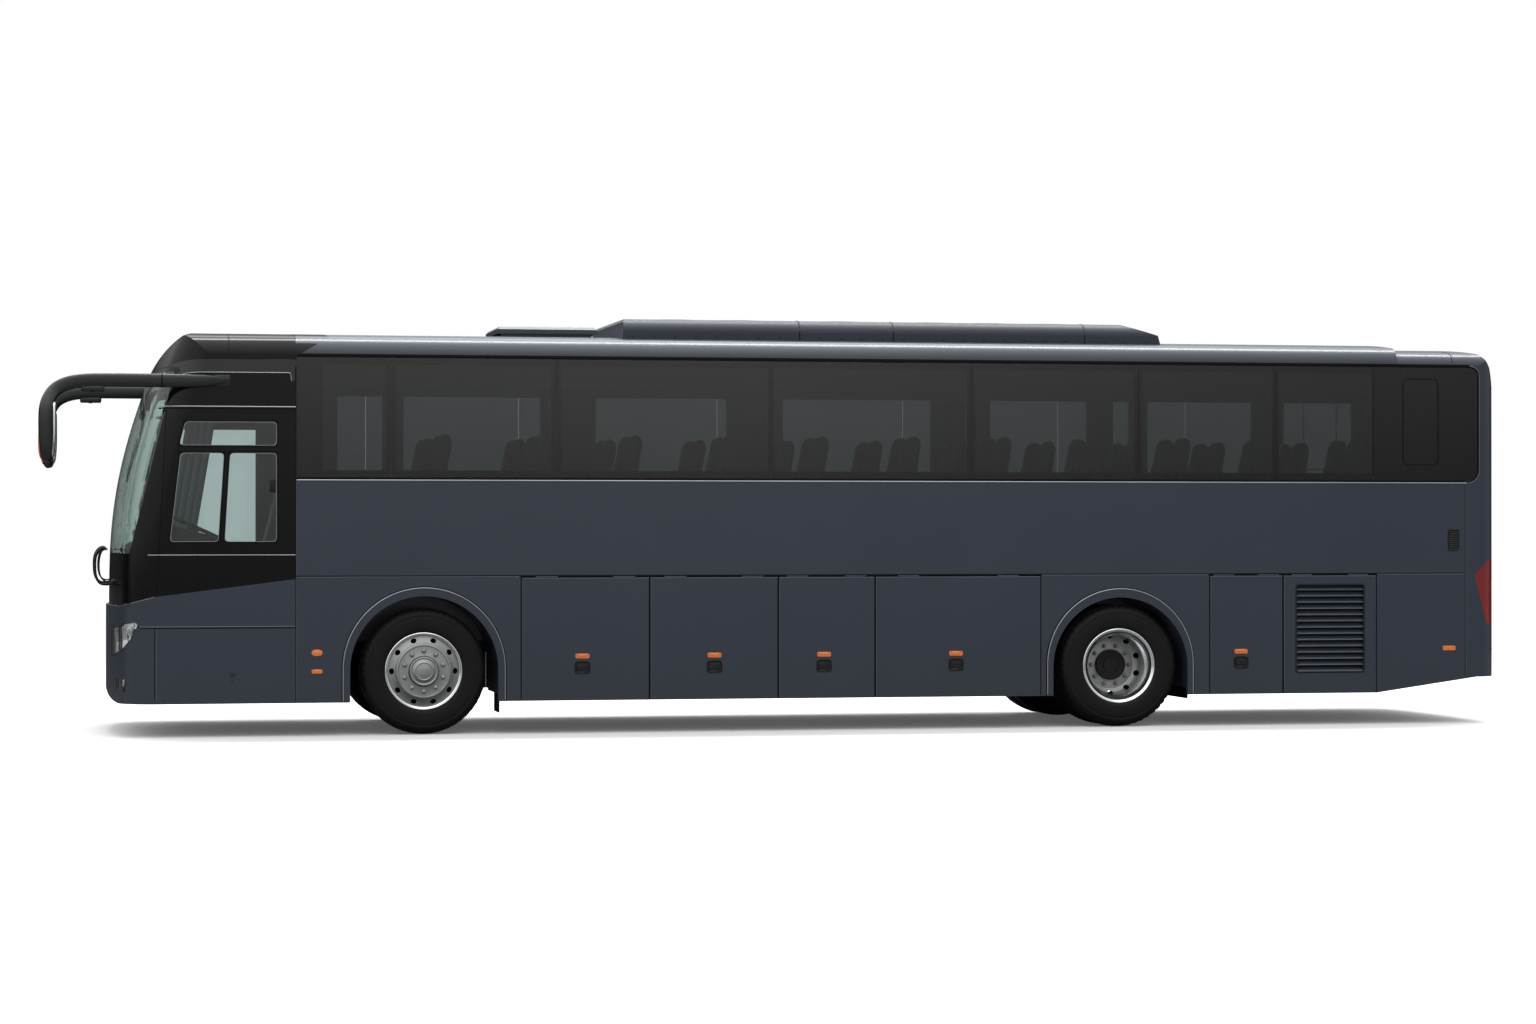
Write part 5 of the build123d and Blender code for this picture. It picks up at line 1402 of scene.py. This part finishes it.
def buildStage():
    # world, floor, softbox and camera
    world = bpy.data.worlds.new("softStudio")
    bpy.context.scene.world = world
    tree = emptied(world)
    way = addNode(tree, "ShaderNodeTexCoord").outputs["Generated"]
    axes = addNode(tree, "ShaderNodeSeparateXYZ", {0: way}).outputs

    # each band rises or falls along one axis of the direction looked in
    bands = {}
    for name, axis, start, end, low, high in (
            ("soft", "Z", 0.0, 0.8, studio["skyHorizon"], studio["skyZenith"]),
            ("wall", "Z", 0.0, 0.055, studio["shineLow"], studio["shineWall"]),
            ("top", "Z", 0.1, 1.0, 0.0, studio["shineTop"]),
            ("far", "Y", 0.0, 0.4, 0.0, studio["shineBehind"]),
            ("low", "Z", 0.1, 0.5, 1.0, 0.0),
            ("rear", "X", 0.2, 0.42, 1.0, studio["shineRear"]),
            ("front", "X", 0.0, 0.14, studio["shineFront"], 1.0)):
        bands[name] = addNode(tree, "ShaderNodeMapRange", {
            "Value": axes[axis], "From Min": start, "From Max": end, "To Min": low,
            "To Max": high}).outputs[0]
    # the mirrored world: wall and top together, darker low down behind and towards both ends
    for name, first, second, operation in (
            ("shine", "wall", "top", "ADD"), ("behind", "far", "low", "MULTIPLY"),
            ("rest", 1.0, "behind", "SUBTRACT"), ("shine", "shine", "rest", "MULTIPLY"),
            ("ends", "rear", "front", "MULTIPLY"), ("shine", "shine", "ends", "MULTIPLY")):
        bands[name] = addNode(tree, "ShaderNodeMath", {
            0: bands.get(first, first), 1: bands[second]}, operation=operation).outputs[0]
    path = addNode(tree, "ShaderNodeLightPath")
    sky = addNode(tree, "ShaderNodeMix", {0: path.outputs["Is Glossy Ray"], 2: bands["soft"],
                                          3: bands["shine"]}, data_type="FLOAT").outputs[0]
    seen = addNode(tree, "ShaderNodeMath", {0: path.outputs["Is Camera Ray"],
                                            1: path.outputs["Is Transmission Ray"]},
                   operation="MAXIMUM").outputs[0]
    strength = addNode(tree, "ShaderNodeMix", {0: seen, 2: sky, 3: 1.0}, data_type="FLOAT")
    light = addNode(tree, "ShaderNodeBackground", {"Color": (1, 1, 1, 1),
                                                   "Strength": strength.outputs[0]})
    addNode(tree, "ShaderNodeOutputWorld", {"Surface": light.outputs[0]})

    floorPaint = bpy.data.materials.new("paleStudioFloor")
    tree = emptied(floorPaint)
    path = addNode(tree, "ShaderNodeLightPath")
    tone = addNode(tree, "ShaderNodeMix", {0: path.outputs["Is Camera Ray"],
                                           2: studio["floorBounce"], 3: studio["floorSeen"]},
                   data_type="FLOAT")
    way = addNode(tree, "ShaderNodeTexCoord").outputs["Object"]
    far = addNode(tree, "ShaderNodeSeparateXYZ", {0: way}).outputs["Y"]
    far = addNode(tree, "ShaderNodeMapRange", {"Value": far, "From Min": 1.0, "From Max": 3.0,
                                               "To Min": 0.0, "To Max": 1.0}).outputs[0]
    far = addNode(tree, "ShaderNodeMath", {0: far, 1: path.outputs["Is Glossy Ray"]},
                  operation="MULTIPLY").outputs[0]
    tone = addNode(tree, "ShaderNodeMix", {0: far, 2: tone.outputs[0], 3: studio["floorBehind"]},
                   data_type="FLOAT")
    matt = addNode(tree, "ShaderNodeBsdfDiffuse", {"Color": tone.outputs[0]})
    glow = addNode(tree, "ShaderNodeMath", {0: path.outputs["Is Camera Ray"],
                                            1: studio["shadowLift"]}, operation="MULTIPLY")
    lift = addNode(tree, "ShaderNodeEmission", {"Strength": glow.outputs[0]})
    both = addNode(tree, "ShaderNodeAddShader", {0: matt.outputs[0], 1: lift.outputs[0]})
    addNode(tree, "ShaderNodeOutputMaterial", {"Surface": both.outputs[0]})
    mesh = bpy.data.meshes.new("studioFloor")
    (west, east), (south, north) = studio["floorX"], studio["floorY"]
    mesh.from_pydata([(west, south, 0), (east, south, 0), (east, north, 0), (west, north, 0)], [],
                     [(0, 1, 2, 3)])
    mesh.materials.append(floorPaint)
    floor = placed("studioFloor", mesh)

    key = bpy.data.lights.new("overheadSoftbox", "AREA")
    key.shape = "RECTANGLE"
    key.size, key.size_y = studio["keySize"]
    key.energy = studio["keyPower"]
    placed("overheadSoftbox", key).location = studio["keyPlace"]

    lens = bpy.data.cameras.new("camera")
    lens.lens = studio["lens"]
    lens.sensor_width = studio["sensor"]
    lens.clip_end = 500
    camera = placed("camera", lens)
    camera.location = studio["cameraPlace"]
    camera.rotation_euler = [radians(angle) for angle in studio["cameraTurn"]]
    bpy.context.scene.camera = camera
    bpy.context.scene.view_settings.view_transform = "Standard"


buildStage()
print("stage: studio")
